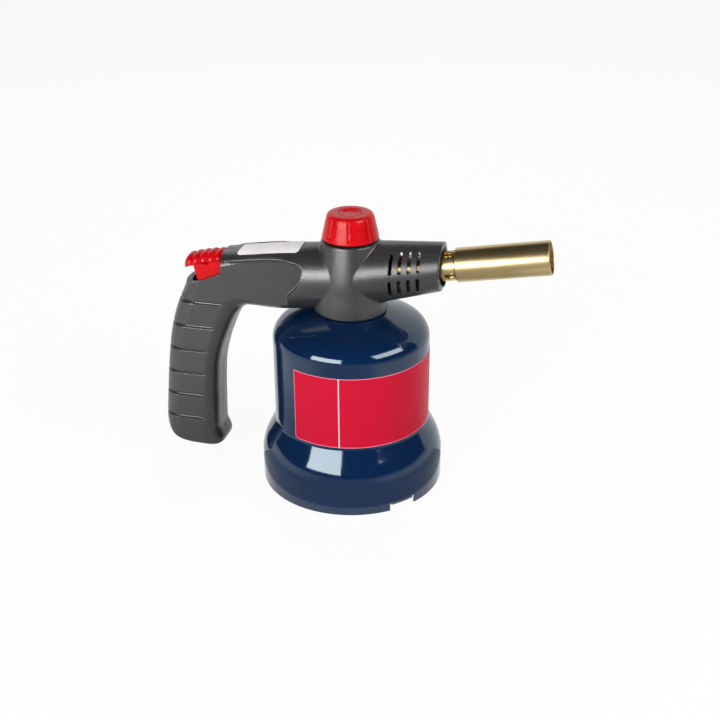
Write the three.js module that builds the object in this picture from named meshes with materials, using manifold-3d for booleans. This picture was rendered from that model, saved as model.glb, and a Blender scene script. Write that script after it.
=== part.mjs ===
// Hand-held gas torch: a pierceable cartridge in a steel bell, a screwed-on head with a
// moulded handle, a valve with its knob, a thumb lever with a piezo igniter, and a brass burner.
// Millimetres, +Z up. The bell's axis is vertical, the burner points to +X, the handle to -X.
import * as THREE from "three";
import { mergeVertices } from "three/addons/utils/BufferGeometryUtils.js";
import Module from "manifold-3d";

const wasm = await Module();
wasm.setup();

const degree = Math.PI / 180;
const full_turn = 2 * Math.PI;

// Clearances
const touch_gap = 0.3;
const pin_gap = 0.15;
const overrun = 2;
const merge_reach = 0.001;

// Bell housing, drawn from steel sheet
const sheet_wall = 0.9;
const bell_radius = 47.5;
const skirt_radius = 56;
const skirt_straight_height = 17;
const flare_top_height = 42.5;
const shoulder_start_height = 93.6;
const shoulder_rise = 12.2;
const shoulder_width = 14;
const neck_rise = 5.2;
const neck_radius = 23;
const neck_hole_radius = 15;
const flare_control_shares = [0.667, 0.627];
const neck_control_shares = [0.5, 0.45];
const flare_steps = 4;
const shoulder_steps = 3;
const neck_steps = 2;
const tongue_width = 14;
const tongue_slit = 1.6;
const tongue_reach = 4.1;
const tongue_height = 5.5;
const tongue_drop = 3.9;
const tongue_count = 2;
const tongue_first_angle = -42 * degree;

// Gas cartridge and the wire that holds it
const cartridge_side_gap = 1.6;
const cartridge_foot_height = 8.3;
const cartridge_top_height = 101.2;
const cartridge_wall = 0.5;
const cartridge_shoulder_height = 88;
const cartridge_crown_radius = 30;
const cartridge_seam = 1;
const cartridge_seam_height = 4;
const cartridge_seat_radius = 13;
const cartridge_dish = 7;
const cartridge_foot_width = 5;
const pierced_hole_radius = 2;
const retainer_wire_radius = 1.4;
const retainer_hook_width = 6;
const retainer_hook_inset = 3.7;
const retainer_hook_height = 5.4;
const retainer_arm_share = 0.8;
const retainer_steps = 32;
const retainer_sides = 6;
const retainer_crossing = 1.7;
const retainer_height = 6.2;

// Threaded collar fixed in the neck of the bell
const collar_flange_radius = 18.6;
const collar_flange_height = 2.5;
const collar_spigot_radius = 14.6;
const collar_depth = 7.5;

// Valve
const valve_spigot_radius = 11;
const valve_spigot_depth = 7;
const valve_flange_radius = 15;
const valve_flange_height = 4;
const valve_body_radius = 12;
const valve_top_rise = 8;
const valve_chamber_radius = 4;
const valve_chamber_drop = 6;
const valve_clamp_radius = 14;
const valve_clamp_height = 2.2;
const gas_bore_radius = 1.3;
const needle_radius = 1.6;
const needle_bore_radius = 0.6;
const needle_length = 8;
const needle_grip = 4;
const gasket_radius = 9;
const gasket_height = 2.2;
const gland_radius = 8.5;
const gland_height = 5.7;
const gland_thread_radius = 5.6;
const gland_thread_depth = 3;
const oring_section_radius = 0.9;
const spindle_radius = 3;
const spindle_seat_gap = 0.6;
const spindle_cone_height = 3;
const spindle_tip_radius = 0.5;
const spindle_lift = 0.9;
const drive_width = 4.2;
const drive_length = 12;

// Head casing, moulded in two halves that meet on the plane of the arm
const casing_wall = 2.6;
const column_base_radius = 22.1;
const column_top_radius = 18.6;
const column_top_rise = 21;
const column_plate = 2.6;
const column_edge = 1;
const web_height = 3;
const knob_opening_radius = 7.3;

// Burner axis, tube and nose
const burner_tilt = 10 * degree;
const burner_axis_height = 133;
const nose_root_radius = 20.1;
const nose_mouth_radius = 14.3;
const nose_length = 55.3;
const nose_edge = 2;
const slot_width = 2.1;
const slot_first_x = 27.2;
const slot_pitch = 5.35;
const slot_count = 4;
const slot_row_angles = [[9 * degree, 50 * degree], [-39 * degree, -3 * degree]];
const arm_shoulder_shares = [1, 1.3];

// Handle and arm
const handle_reach = 122.3;
const handle_half_thickness = 14.3;
const arm_root_half_thickness = 20.2;
const panel_depth = 14;
const panel_drop_share = 0.125;
// End of the arm's flat side near the column, from below the arm up to the top of the flat:
// distance from the bell's axis and height, both as shares of the burner axis height
const panel_end_shares = [
  [0.2677, 0.8421],
  [0.2632, 0.9083],
  [0.2504, 0.9218],
  [0.2256, 0.9451],
  [0.209, 0.9677],
  [0.1955, 1.0015],
  [0.1887, 1.0361],
  [0.1947, 1.0541],
  [0.209, 1.0624],
  [0.2444, 1.0692],
  [0.3008, 1.0714],
];
const groove_width = 1.1;
const groove_depth = 0.8;
const groove_lowest = 30.5;
const groove_pitch = 16;
const groove_count = 6;
const groove_end_inset = 9;

// Thumb lever, its pin and the igniter below it
const lever_pivot_share = 0.5969;
const lever_tip_share = 0.8553;
const lever_pivot_rise = 2;
const lever_rise = 7.8;
const lever_pad_drop = 10.6;
const lever_seat_share = 0.552;
const lever_seat_front_share = 0.444;
const lever_hub_radius = 3.8;
const lever_hub_half_width = 6.5;
const lever_neck_half_height = 2.6;
const lever_skirt_half_width = 10.2;
const lever_cap_half_width = 13;
const lever_cap_edge = 3;
const lever_pin_radius = 2;
const pin_boss_radius = 4;
const lever_pad_depth = 4;
const opening_dip = 2;
const opening_dip_length = 5;
const opening_rise = 5.5;
const rib_count = 5;
const rib_height = 1.1;
const rib_steps = 5;
const corner_steps = 4;
const piezo_share = 0.74;
const piezo_base_drop = 55;
const piezo_radius = 7;
const piezo_length = 32;
const piezo_bore_radius = 3.6;
const piezo_bore_depth = 8;
const plunger_radius = 3.2;
const plunger_travel = 4.4;
const plunger_chamfer = 1.2;
const plunger_collar_radius = 6;
const plunger_collar_height = 1.6;
const plunger_head_height = 1.6;
const igniter_spring_radius = 5.1;
const igniter_spring_wire_radius = 0.4;
const igniter_spring_turns = 4;
const turn_steps = 8;
const wire_sides = 5;

// Casing screws, each with its boss
const screw_boss_radius = 3.8;
const screw_head_radius = 2.9;
const screw_head_height = 2;
const screw_shank_radius = 1.4;
const screw_length = 18;
const screw_socket_radius = 1;
const screw_socket_depth = 1.1;
const screw_seat_depth = 8.5;
const grip_screw_share = 0.8422;
const grip_screw_heights = [21, 60];
const arm_screw_share = 0.4252;
const arm_screw_drop = 13;
const nose_screw_x = 20.5;
const nose_screw_drop = 8.8;

// Burner parts, measured along the burner axis from the bell's axis
const outlet_radius = 6.4;
const outlet_end = 29;
const outlet_bore_radius = 2.5;
const gas_tube_radius = 5;
const gas_tube_wall = 0.8;
const gas_tube_seat = 4;
const jet_radius = 3;
const jet_length = 5;
const jet_bore_radius = 0.6;
const jet_chamfer = 1;
const jet_grip = 3;
const throat_set_back = 5.3;
const throat_radius = 8.75;
const throat_bore_radius = 7.4;
const throat_hole_radius = 3;
const throat_hole_stand_off = 5.6;
const throat_hole_count = 4;
const throat_hole_first_angle = -24 * degree;
const flame_tube_stand_off = 10.5;
const flame_tube_length = 52.8;
const flame_tube_radius = 10;
const flame_tube_wall = 0.9;
const flame_tube_chamfer = 0.6;
const throat_overlap = 5;
const holder_thickness = 2;
const holder_hole_radius = 1.5;
const holder_centre_hole_radius = 2.2;
const holder_hole_count = 8;
const holder_hole_circle = 6;

// Spark electrode and its lead
const insulator_radius = 1.5;
const insulator_set_back = 22.3;
const insulator_length = 16.6;
const insulator_offset = 9.7;
const electrode_radius = 0.5;
const electrode_bend = 1.6;
const electrode_reach_in = 2.5;
const electrode_steps = 20;
const lead_radius = 1.2;
const lead_sides = 8;
const lead_steps = 28;
const lead_straight = 4;
const lead_exit_drop = 5;
// Route of the lead over the arm's screw boss: share of the handle's reach, then side and height
// as shares of the burner axis height
const arm_lead_route_shares = [
  [0.65, 0, 0.7895],
  [0.5969, 0.0301, 0.8346],
  [0.5233, 0.0451, 0.9135],
  [0.4415, 0.0451, 0.9586],
  [0.3271, 0.0451, 0.9737],
];
// Route of the lead past the valve, as shares of the burner axis height
const valve_lead_route_shares = [
  [-0.1805, 0.0602, 0.9774],
  [-0.0977, 0.0722, 0.9797],
  [-0.0526, 0.0985, 0.9835],
  [0, 0.1113, 0.9887],
  [0.0526, 0.1053, 0.9977],
  [0.1053, 0.0932, 1.015],
];

// Knob
const knob_gap = 1;
const knob_base_radius = 17.4;
const knob_lip_radius = 16.9;
const knob_lip_height = 1.2;
const knob_rim_radius = 13.5;
const knob_rim_height = 15.8;
const knob_crown_height = 17.2;
const knob_crown_radius = 12;
const knob_shoulder_share = 0.65;
const knob_wall = 2.2;
const knob_hub_radius = 6.8;
const knob_hub_drop = 6.6;
const knob_recess_radius = 6.9;
const knob_recess_depth = 2.4;
const knob_cap_height = 1.6;
const knob_cap_dish_radius = 4.4;
const knob_cap_dish_depth = 0.6;
const knob_flute_count = 8;
const knob_flute_radius = 1.6;
const knob_flute_depth = 1;
const knob_flute_first_angle = -93 * degree;
const flute_low_share = 0.12;
const clip_outer_radius = 9.2;
const clip_height = 1;
const clip_groove_depth = 1;
const clip_mouth = 8;

// Facets of round pieces and steps of rounded edges
const bell_facets = 36;
const tube_facets = 24;
const small_facets = 12;
const fine_facets = 8;
const hex_facets = 6;
const seal_sides = 8;
const edge_steps = 3;

// Heights and places that follow from the sizes above
const head_height = burner_axis_height;
const valve_top_height = head_height + valve_top_rise;
const valve_chamber_floor = head_height - valve_chamber_drop;
const column_top_height = head_height + column_top_rise;
const lever_pivot_height = head_height + lever_pivot_rise;
const arm_screw_height = head_height - arm_screw_drop;
const nose_screw_height = head_height - nose_screw_drop;
const piezo_base_height = head_height - piezo_base_drop;
const cartridge_radius = bell_radius - sheet_wall - cartridge_side_gap;
const retainer_hook_radius = skirt_radius - sheet_wall - retainer_hook_inset;
const lever_pivot_x = lever_pivot_share * handle_reach;
const lever_reach = (lever_tip_share - lever_pivot_share) * handle_reach;
const piezo_x = piezo_share * handle_reach;
const grip_screw_x = grip_screw_share * handle_reach;
const arm_screw_x = arm_screw_share * handle_reach;
const throat_start = nose_length - throat_set_back;
const throat_hole_place = nose_length + throat_hole_stand_off;
const flame_tube_start = nose_length + flame_tube_stand_off;
const flame_tube_end = flame_tube_start + flame_tube_length;
const insulator_start = nose_length - insulator_set_back;
const insulator_end = insulator_start + insulator_length;
const shoulder_height = shoulder_start_height + shoulder_rise;
const neck_height = shoulder_height + neck_rise;
const casing_base_height = neck_height + touch_gap;
const collar_top_height = casing_base_height + collar_flange_height;
const valve_flange_base = collar_top_height + touch_gap;
const valve_flange_top = valve_flange_base + valve_flange_height;
const valve_base_height = neck_height - valve_spigot_depth;
const web_base = valve_flange_top + touch_gap;
const web_top = web_base + web_height;
const gland_base_height = valve_top_height + touch_gap;
const gland_top_height = gland_base_height + gland_height;
const knob_base_height = column_top_height + knob_gap;
const spindle_base_height = valve_chamber_floor + spindle_seat_gap;
const drive_top_height = knob_base_height + drive_length;
const lever_pad_height = lever_pivot_height - lever_pad_drop;
const pin_half_length = panel_depth - casing_wall;
const plunger_top_height = lever_pad_height - touch_gap;
const plunger_collar_base = plunger_top_height - plunger_head_height - plunger_collar_height;
const clip_base_height = column_top_height - column_plate - touch_gap - clip_height;
const piezo_top_height = piezo_base_height + piezo_length;
const gas_tube_start = outlet_end - gas_tube_seat + touch_gap;
const gas_tube_end = throat_start + gas_tube_seat - touch_gap;
const jet_start = throat_start + gas_tube_seat + touch_gap;
const throat_floor = jet_start + jet_grip;
const screw_places = [
  ...grip_screw_heights.map((height) => [-grip_screw_x, height]),
  [-arm_screw_x, arm_screw_height],
  [nose_screw_x, nose_screw_height],
];

// Thumb lever outlines: shares of its length behind the hub and of its rise over the pivot
const cap_top_shares = [[1, -0.487], [0.925, 0.051], [0.735, 0.436], [0.381, 0.718], [0, 1]];
const cap_underside_shares = [[0, 0.077], [0.623, -0.256], [0.772, -0.513], [0.922, -0.692]];
const skirt_back_shares = [[0.664, -0.128], [0.612, -0.962]];
const skirt_front_shares = [[0, -0.718], [0, 0.256]];

// Turns a closed geometry into a solid, with shared vertices merged and the faces pointing out
function solid(geometry) {
  const bare = geometry.index ? geometry.toNonIndexed() : geometry.clone();
  for (const name of Object.keys(bare.attributes)) {
    if (name !== "position") bare.deleteAttribute(name);
  }
  const merged = mergeVertices(bare, merge_reach);
  const points = merged.attributes.position.array;
  const corners = merged.index.array;
  const faces = [];
  let volume = 0;
  for (let i = 0; i < corners.length; i += 3) {
    const [a, b, c] = [corners[i], corners[i + 1], corners[i + 2]];
    if (a === b || b === c || c === a) continue;
    faces.push([a, b, c]);
    const [p, q, r] = [a, b, c].map((k) => new THREE.Vector3().fromArray(points, 3 * k));
    volume += p.dot(q.cross(r));
  }
  const outward = volume > 0 ? faces : faces.map(([a, b, c]) => [a, c, b]);
  const mesh = new wasm.Mesh({
    numProp: 3,
    vertProperties: new Float32Array(points),
    triVerts: new Uint32Array(outward.flat()),
  });
  return new wasm.Manifold(mesh);
}

// Gives a solid back as a geometry
function geometryOf(body) {
  const mesh = body.getMesh();
  const geometry = new THREE.BufferGeometry();
  geometry.setAttribute("position", new THREE.BufferAttribute(new Float32Array(mesh.vertProperties), 3));
  geometry.setIndex(new THREE.BufferAttribute(new Uint32Array(mesh.triVerts), 1));
  const flat = geometry.toNonIndexed();
  flat.computeVertexNormals();
  return flat;
}

const joined = (first, ...rest) => rest.reduce((sum, next) => sum.add(next), first);
const cutBy = (first, ...rest) => rest.reduce((left, next) => left.subtract(next), first);

// Turned solid about +Z from (radius, height) pairs that close on the axis or on themselves
function turned(profile, facets) {
  const points = profile.map(([radius, height]) => new THREE.Vector2(radius, height));
  const onAxis = profile.every(([radius], i) => i > 0 && i < profile.length - 1 || radius === 0);
  if (!onAxis) points.push(points[0].clone());
  return solid(new THREE.LatheGeometry(points, facets).rotateX(Math.PI / 2));
}

// Plain rod and ring about +Z
function rod(radius, base, top, facets = small_facets) {
  return turned([[0, base], [radius, base], [radius, top], [0, top]], facets);
}

function ring(outer, inner, base, top, facets = tube_facets) {
  return turned([[inner, base], [outer, base], [outer, top], [inner, top]], facets);
}

// Block between two corners
function block(low, high) {
  const size = high.map((value, i) => value - low[i]);
  const middle = high.map((value, i) => (value + low[i]) / 2);
  return solid(new THREE.BoxGeometry(...size).translate(...middle));
}

function moved(body, x, y, z) {
  return body.translate([x, y, z]);
}

// Outline in the XZ plane made into a plate from y = low to y = high, with an optional round edge
function plate(outline, low, high, edge = 0) {
  const shape = new THREE.Shape(outline.map(([x, z]) => new THREE.Vector2(x, z)));
  const geometry = new THREE.ExtrudeGeometry(shape, {
    depth: high - low - 2 * edge,
    bevelEnabled: edge > 0,
    bevelThickness: edge,
    bevelSize: edge,
    bevelOffset: -edge,
    bevelSegments: edge_steps,
  });
  return solid(geometry.rotateX(Math.PI / 2).translate(0, high - edge, 0));
}

// Rod along Y, for pins, screws and their bosses
function crossRod(radius, x, z, low, high, facets = small_facets) {
  const body = rod(radius, low, high, facets).rotate([-90, 0, 0]);
  return moved(body, x, 0, z);
}

// Solid on the burner axis: +Z of the turned shape is laid along the axis
function onBurnerAxis(body) {
  return moved(body.rotate([0, 90 - burner_tilt / degree, 0]), 0, 0, burner_axis_height);
}

// Tube of round section along a curve, with closed ends or joined into a loop
function tube(curve, radius, steps, sides, closed = false) {
  const frames = curve.computeFrenetFrames(steps, closed);
  const rings = closed ? steps : steps + 1;
  const points = [];
  for (let i = 0; i < rings; i += 1) {
    const centre = curve.getPointAt(i / steps);
    for (let k = 0; k < sides; k += 1) {
      const angle = (k / sides) * full_turn;
      const across = frames.normals[i].clone().multiplyScalar(Math.cos(angle) * radius);
      const along = frames.binormals[i].clone().multiplyScalar(Math.sin(angle) * radius);
      points.push(centre.clone().add(across).add(along));
    }
  }
  return skinned(points, rings, sides, closed);
}

// Skin over rings of equal count, closed by a fan at each end or joined into a loop
function skinned(points, rings, sides, closed = false) {
  const faces = [];
  const spans = closed ? rings : rings - 1;
  for (let i = 0; i < spans; i += 1) {
    for (let k = 0; k < sides; k += 1) {
      const next = (i + 1) % rings;
      const [a, b] = [i * sides + k, i * sides + (k + 1) % sides];
      const [c, d] = [next * sides + k, next * sides + (k + 1) % sides];
      faces.push(a, b, d, a, d, c);
    }
  }
  if (!closed) {
    for (const i of [0, rings - 1]) {
      const own = points.slice(i * sides, (i + 1) * sides);
      const centre = own.reduce((sum, p) => sum.add(p), new THREE.Vector3()).divideScalar(sides);
      points.push(centre);
      const hub = points.length - 1;
      for (let k = 0; k < sides; k += 1) {
        const [a, b] = [i * sides + k, i * sides + (k + 1) % sides];
        faces.push(...(i === 0 ? [hub, b, a] : [hub, a, b]));
      }
    }
  }
  const geometry = new THREE.BufferGeometry().setFromPoints(points);
  geometry.setIndex(faces);
  return solid(geometry);
}

// Points on a cubic curve between two ends, given the share of the rise each control takes
function easedCurve(from, to, controls, steps) {
  const [r0, z0] = from;
  const [r1, z1] = to;
  const curve = new THREE.CubicBezierCurve(
    new THREE.Vector2(r0, z0),
    new THREE.Vector2(...controls[0]),
    new THREE.Vector2(...controls[1]),
    new THREE.Vector2(r1, z1),
  );
  return curve.getPoints(steps).map((p) => [p.x, p.y]);
}

// Bell: straight skirt, S-shaped flare, body, elliptical shoulder and a neck that rises to the collar
function bellOutline(inset) {
  const flare = flare_top_height - skirt_straight_height;
  const flareCurve = easedCurve(
    [skirt_radius - inset, skirt_straight_height],
    [bell_radius - inset, flare_top_height],
    [
      [skirt_radius - inset, skirt_straight_height + flare_control_shares[0] * flare],
      [bell_radius - inset, skirt_straight_height + flare_control_shares[1] * flare],
    ],
    flare_steps,
  );
  const crown = bell_radius - shoulder_width;
  const shoulder = [];
  for (let i = 0; i <= shoulder_steps; i += 1) {
    const angle = (i / shoulder_steps) * (Math.PI / 2);
    const radius = crown + (shoulder_width - inset) * Math.cos(angle);
    const height = shoulder_start_height + (shoulder_rise - inset) * Math.sin(angle);
    shoulder.push([radius, height]);
  }
  const neck_run = crown - neck_radius;
  const neck = easedCurve(
    [crown, shoulder_height - inset],
    [neck_radius, neck_height - inset],
    [
      [crown - neck_control_shares[0] * neck_run, shoulder_height - inset],
      [neck_radius + neck_control_shares[1] * neck_run, neck_height - inset],
    ],
    neck_steps,
  ).slice(1);
  return [...flareCurve, ...shoulder, ...neck];
}

// Tongue bent in from the rim, its slits and the notch below it
function tongueCutter() {
  const half = tongue_width / 2 + tongue_slit;
  const inside = skirt_radius - sheet_wall - overrun;
  return block([inside, -half, -overrun], [skirt_radius + overrun, half, tongue_height]);
}

function tonguePlate() {
  const root = skirt_radius - sheet_wall;
  const slope = Math.hypot(tongue_reach, tongue_drop);
  const [nx, nz] = [tongue_drop / slope * sheet_wall, tongue_reach / slope * sheet_wall];
  const top = tongue_height + sheet_wall;
  const outline = [
    [root, top],
    [root, tongue_height + nz],
    [root - tongue_reach, tongue_height + nz - tongue_drop],
    [root - tongue_reach + nx, tongue_height - tongue_drop],
    [skirt_radius, tongue_height - touch_gap],
    [skirt_radius, top],
  ];
  return plate(outline, -tongue_width / 2, tongue_width / 2);
}

function tongueTurns() {
  const turns = [];
  for (let i = 0; i < tongue_count; i += 1) {
    turns.push(tongue_first_angle / degree + (i * 360) / tongue_count);
  }
  return turns;
}

function bellHousing() {
  const outer = [[skirt_radius, 0], ...bellOutline(0), [neck_hole_radius, neck_height]];
  const inner = [[skirt_radius - sheet_wall, 0], ...bellOutline(sheet_wall)];
  inner.push([neck_hole_radius, neck_height - sheet_wall]);
  const shell = turned([...outer, ...inner.reverse()], bell_facets);
  const turns = tongueTurns();
  const notched = cutBy(shell, ...turns.map((turn) => tongueCutter().rotate([0, 0, turn])));
  return joined(notched, ...turns.map((turn) => tonguePlate().rotate([0, 0, turn])));
}

function threadedCollar() {
  const bore = valve_spigot_radius + touch_gap;
  return turned([
    [bore, neck_height - collar_depth],
    [collar_spigot_radius, neck_height - collar_depth],
    [collar_spigot_radius, casing_base_height],
    [collar_flange_radius, casing_base_height],
    [collar_flange_radius, collar_top_height],
    [bore, collar_top_height],
  ], tube_facets);
}

// Thin-walled can: dished foot, straight wall, domed top and the hole that the needle made
function gasCartridge() {
  const foot = cartridge_foot_height;
  const wall = cartridge_wall;
  const foot_inner = cartridge_radius - cartridge_foot_width;
  const outlineOf = (inset) => [
    [pierced_hole_radius, cartridge_top_height - inset],
    [cartridge_seat_radius, cartridge_top_height - inset],
    [cartridge_crown_radius, cartridge_top_height - cartridge_seam_height - inset],
    [cartridge_radius - inset, cartridge_shoulder_height],
    [cartridge_radius - inset, foot + cartridge_seam_height],
    [cartridge_radius - cartridge_seam - inset, foot + inset],
    [foot_inner, foot + inset],
    [foot_inner - cartridge_foot_width, foot + cartridge_seam_height + inset],
    [0, foot + cartridge_dish + inset],
  ];
  return turned([...outlineOf(0).reverse(), ...outlineOf(wall)], bell_facets);
}

// Bow-tie wire: two end bars in the tongues, joined by arms that cross below the cartridge
function retainingWire() {
  const arm_radius = retainer_hook_radius * retainer_arm_share;
  const corners = [];
  for (const side of [1, -1]) {
    const level = retainer_height + side * retainer_crossing;
    corners.push(new THREE.Vector3(0, 0, level));
    corners.push(new THREE.Vector3(side * arm_radius, retainer_hook_width, retainer_height));
    for (const across of [retainer_hook_width, 0, -retainer_hook_width]) {
      corners.push(new THREE.Vector3(side * retainer_hook_radius, across, retainer_hook_height));
    }
    corners.push(new THREE.Vector3(side * arm_radius, -retainer_hook_width, retainer_height));
  }
  const curve = new THREE.CatmullRomCurve3(corners, true, "centripetal");
  return tube(curve, retainer_wire_radius, retainer_steps, retainer_sides, true)
    .rotate([0, 0, tongue_first_angle / degree]);
}

// Valve: spigot, hexagonal stop flange, body, clamp flange and the outlet to the burner
function valveBody() {
  const outer = turned([
    [0, valve_base_height],
    [valve_spigot_radius, valve_base_height],
    [valve_spigot_radius, valve_flange_base],
    [valve_body_radius, valve_flange_base],
    [valve_body_radius, valve_top_height],
    [0, valve_top_height],
  ], tube_facets);
  const stop_flange = rod(valve_flange_radius, valve_flange_base, valve_flange_top, hex_facets);
  const clamp_base = web_top + touch_gap;
  const clamp = rod(valve_clamp_radius, clamp_base, clamp_base + valve_clamp_height, tube_facets);
  const outlet = onBurnerAxis(rod(outlet_radius, 0, outlet_end, tube_facets));
  const spindle_bore = rod(valve_chamber_radius, valve_chamber_floor, valve_top_height + overrun);
  const counterbore = rod(
    gland_thread_radius + touch_gap,
    valve_top_height - gland_thread_depth - 2 * oring_section_radius - 2 * touch_gap,
    valve_top_height + overrun,
  );
  const gas_bore = rod(gas_bore_radius, valve_base_height - overrun, valve_chamber_floor + overrun);
  const needle_seat = rod(
    needle_radius + touch_gap,
    valve_base_height - overrun,
    valve_base_height + needle_grip + touch_gap,
  );
  const outlet_bore = onBurnerAxis(rod(outlet_bore_radius, 0, outlet_end + overrun));
  const tube_seat = onBurnerAxis(rod(
    gas_tube_radius + touch_gap,
    outlet_end - gas_tube_seat,
    outlet_end + overrun,
  ));
  return cutBy(
    joined(outer, stop_flange, clamp, outlet),
    spindle_bore, counterbore, gas_bore, needle_seat, outlet_bore, tube_seat,
  );
}

function piercingNeedle() {
  const top = valve_base_height + needle_grip;
  const tip = top - needle_length;
  const body = ring(needle_radius, needle_bore_radius, tip, top, fine_facets);
  const bevel = plate([
    [-needle_radius - overrun, tip - overrun],
    [needle_radius + overrun, tip - overrun],
    [needle_radius + overrun, tip + 2 * needle_radius],
  ], -needle_radius - overrun, needle_radius + overrun);
  return body.subtract(bevel);
}

function cartridgeGasket() {
  const base = cartridge_top_height + touch_gap;
  return ring(gasket_radius, needle_radius + 2 * touch_gap, base, base + gasket_height);
}

function glandNut() {
  const bore = spindle_radius + touch_gap;
  const thread_base = valve_top_height - gland_thread_depth;
  const sleeve = ring(gland_thread_radius, bore, thread_base, gland_top_height, small_facets);
  const head = rod(gland_radius, gland_base_height, gland_top_height, hex_facets);
  return head.subtract(rod(bore, gland_base_height - overrun, gland_top_height + overrun)).add(sleeve);
}

function spindleSeal() {
  const centre_radius = spindle_radius + touch_gap + oring_section_radius;
  const height = valve_top_height - gland_thread_depth - touch_gap - oring_section_radius;
  const torus = new THREE.TorusGeometry(centre_radius, oring_section_radius, seal_sides, small_facets);
  return solid(torus.translate(0, 0, height));
}

// Spindle: cone that closes the gas bore, round shank and a square end that the knob drives
function valveSpindle() {
  const cone_top = spindle_base_height + spindle_cone_height;
  const drive_base = gland_top_height + touch_gap;
  const shank = turned([
    [0, spindle_base_height],
    [spindle_tip_radius, spindle_base_height],
    [spindle_radius, cone_top],
    [spindle_radius, drive_base],
    [0, drive_base],
  ], small_facets);
  const half = drive_width / 2;
  return shank.add(block([-half, -half, drive_base - overrun], [half, half, drive_top_height]));
}

// Handle and arm as one skin: each station joins a point on the front or underside to a point on
// the back or top. Shares are of the handle's reach and of the burner axis height.
const handle_station_shares = [
  { inner: [0.718, 0.074], outer: [0.880, 0.075], thick_share: 0.64 },
  { inner: [0.684, 0.082], outer: [0.945, 0.087], thick_share: 0.87 },
  { inner: [0.666, 0.103], outer: [0.975, 0.105], thick_share: 0.97 },
  { inner: [0.665, 0.140], outer: [0.995, 0.145], thick_share: 1 },
  { inner: [0.686, 0.180], outer: [1, 0.195], thick_share: 1 },
  { inner: [0.690, 0.260], outer: [0.992, 0.270], thick_share: 1 },
  { inner: [0.685, 0.400], outer: [0.976, 0.410], thick_share: 1 },
  { inner: [0.673, 0.520], outer: [0.959, 0.535], thick_share: 1 },
  { inner: [0.653, 0.605], outer: [0.941, 0.640], thick_share: 1 },
  { inner: [0.622, 0.680], outer: [0.915, 0.735], thick_share: 1 },
  { inner: [0.590, 0.745], outer: [0.880, 0.825], thick_share: 1 },
  { inner: [0.562, 0.785], outer: [0.842, 0.900], thick_share: 1 },
  { inner: [0.538, 0.808], outer: [0.790, 1.020], thick_share: 1 },
  { inner: [0.510, 0.820], outer: [0.700, 1.052], thick_share: 1.05 },
  { inner: [0.470, 0.822], outer: [0.590, 1.072], thick_share: 1.15 },
  { inner: [0.410, 0.817], outer: [0.480, 1.090], thick_share: 1.25 },
  { inner: [0.340, 0.815], outer: [0.360, 1.108], thick_share: 1.34 },
  { inner: [0.240, 0.821], outer: [0.240, 1.125], thick_share: 1.41 },
  { inner: [0.030, 0.840], outer: [0.030, 1.150], thick_share: 1.45 },
];
const solid_toe_stations = 2;
const handle_sides = 16;
const front_squareness = 4.2;
const back_squareness = 2.9;
const arm_squareness = 2.15;

const handleX = (share) => -share * handle_reach;

// One ring of the handle: a rounded box across the station, squarer at the front than at the back
function stationRing(station, inset, points) {
  const inner = new THREE.Vector2(handleX(station.inner[0]), station.inner[1] * head_height);
  const outer = new THREE.Vector2(handleX(station.outer[0]), station.outer[1] * head_height);
  const centre = inner.clone().add(outer).divideScalar(2);
  const reach = outer.clone().sub(inner).divideScalar(2);
  const depth = reach.length();
  const half = handle_half_thickness * station.thick_share - inset;
  const round = THREE.MathUtils.smoothstep(station.thick_share, ...arm_shoulder_shares);
  for (let k = 0; k < handle_sides; k += 1) {
    const angle = (k / handle_sides) * full_turn;
    const [c, s] = [Math.cos(angle), Math.sin(angle)];
    const square = c > 0 ? back_squareness : front_squareness;
    const power = 2 / THREE.MathUtils.lerp(square, arm_squareness, round);
    const along = Math.sign(c) * Math.abs(c) ** power * (1 - inset / depth);
    const across = Math.sign(s) * Math.abs(s) ** power * half;
    points.push(new THREE.Vector3(
      centre.x + reach.x * along,
      across,
      centre.y + reach.y * along,
    ));
  }
}

function handleSkin(stations, inset) {
  const points = [];
  stations.forEach((station) => stationRing(station, inset, points));
  return skinned(points, stations.length, handle_sides);
}

// Round column over the bell
function columnSkin(inset, base, top) {
  const radiusAt = (height) => {
    const share = (height - casing_base_height) / (column_top_height - casing_base_height);
    return THREE.MathUtils.lerp(column_base_radius, column_top_radius, share) - inset;
  };
  const edge = inset > 0 ? 0 : column_edge;
  return turned([
    [0, base],
    [radiusAt(base), base],
    [radiusAt(top - edge), top - edge],
    [radiusAt(top) - edge, top],
    [0, top],
  ], tube_facets);
}

// Tapered nose on the burner axis
function noseSkin(inset, start, end, edge) {
  const radiusAt = (place) => {
    return THREE.MathUtils.lerp(nose_root_radius, nose_mouth_radius, place / nose_length) - inset;
  };
  const profile = [[0, start], [radiusAt(start), start], [radiusAt(end - edge), end - edge]];
  if (edge > 0) {
    const middle = 1 - Math.SQRT1_2;
    profile.push([radiusAt(end) - edge * middle, end - edge * middle]);
    profile.push([radiusAt(end) - edge, end]);
  } else {
    profile.push([radiusAt(end), end]);
  }
  profile.push([0, end]);
  return onBurnerAxis(turned(profile, tube_facets));
}

// Slots through the nose, in upright planes, from one angle above the axis to another
function noseSlots() {
  const slots = [];
  for (let i = 0; i < slot_count; i += 1) {
    const x = slot_first_x + i * slot_pitch;
    const place = x / Math.cos(burner_tilt);
    const radius = THREE.MathUtils.lerp(nose_root_radius, nose_mouth_radius, place / nose_length);
    const centre = burner_axis_height + x * Math.tan(burner_tilt);
    for (const [low, high] of slot_row_angles) {
      const bottom = centre + radius * Math.sin(low);
      const top = centre + radius * Math.sin(high);
      slots.push(block(
        [x - slot_width / 2, -nose_root_radius - overrun, bottom],
        [x + slot_width / 2, nose_root_radius + overrun, top],
      ));
    }
  }
  return slots;
}

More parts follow.
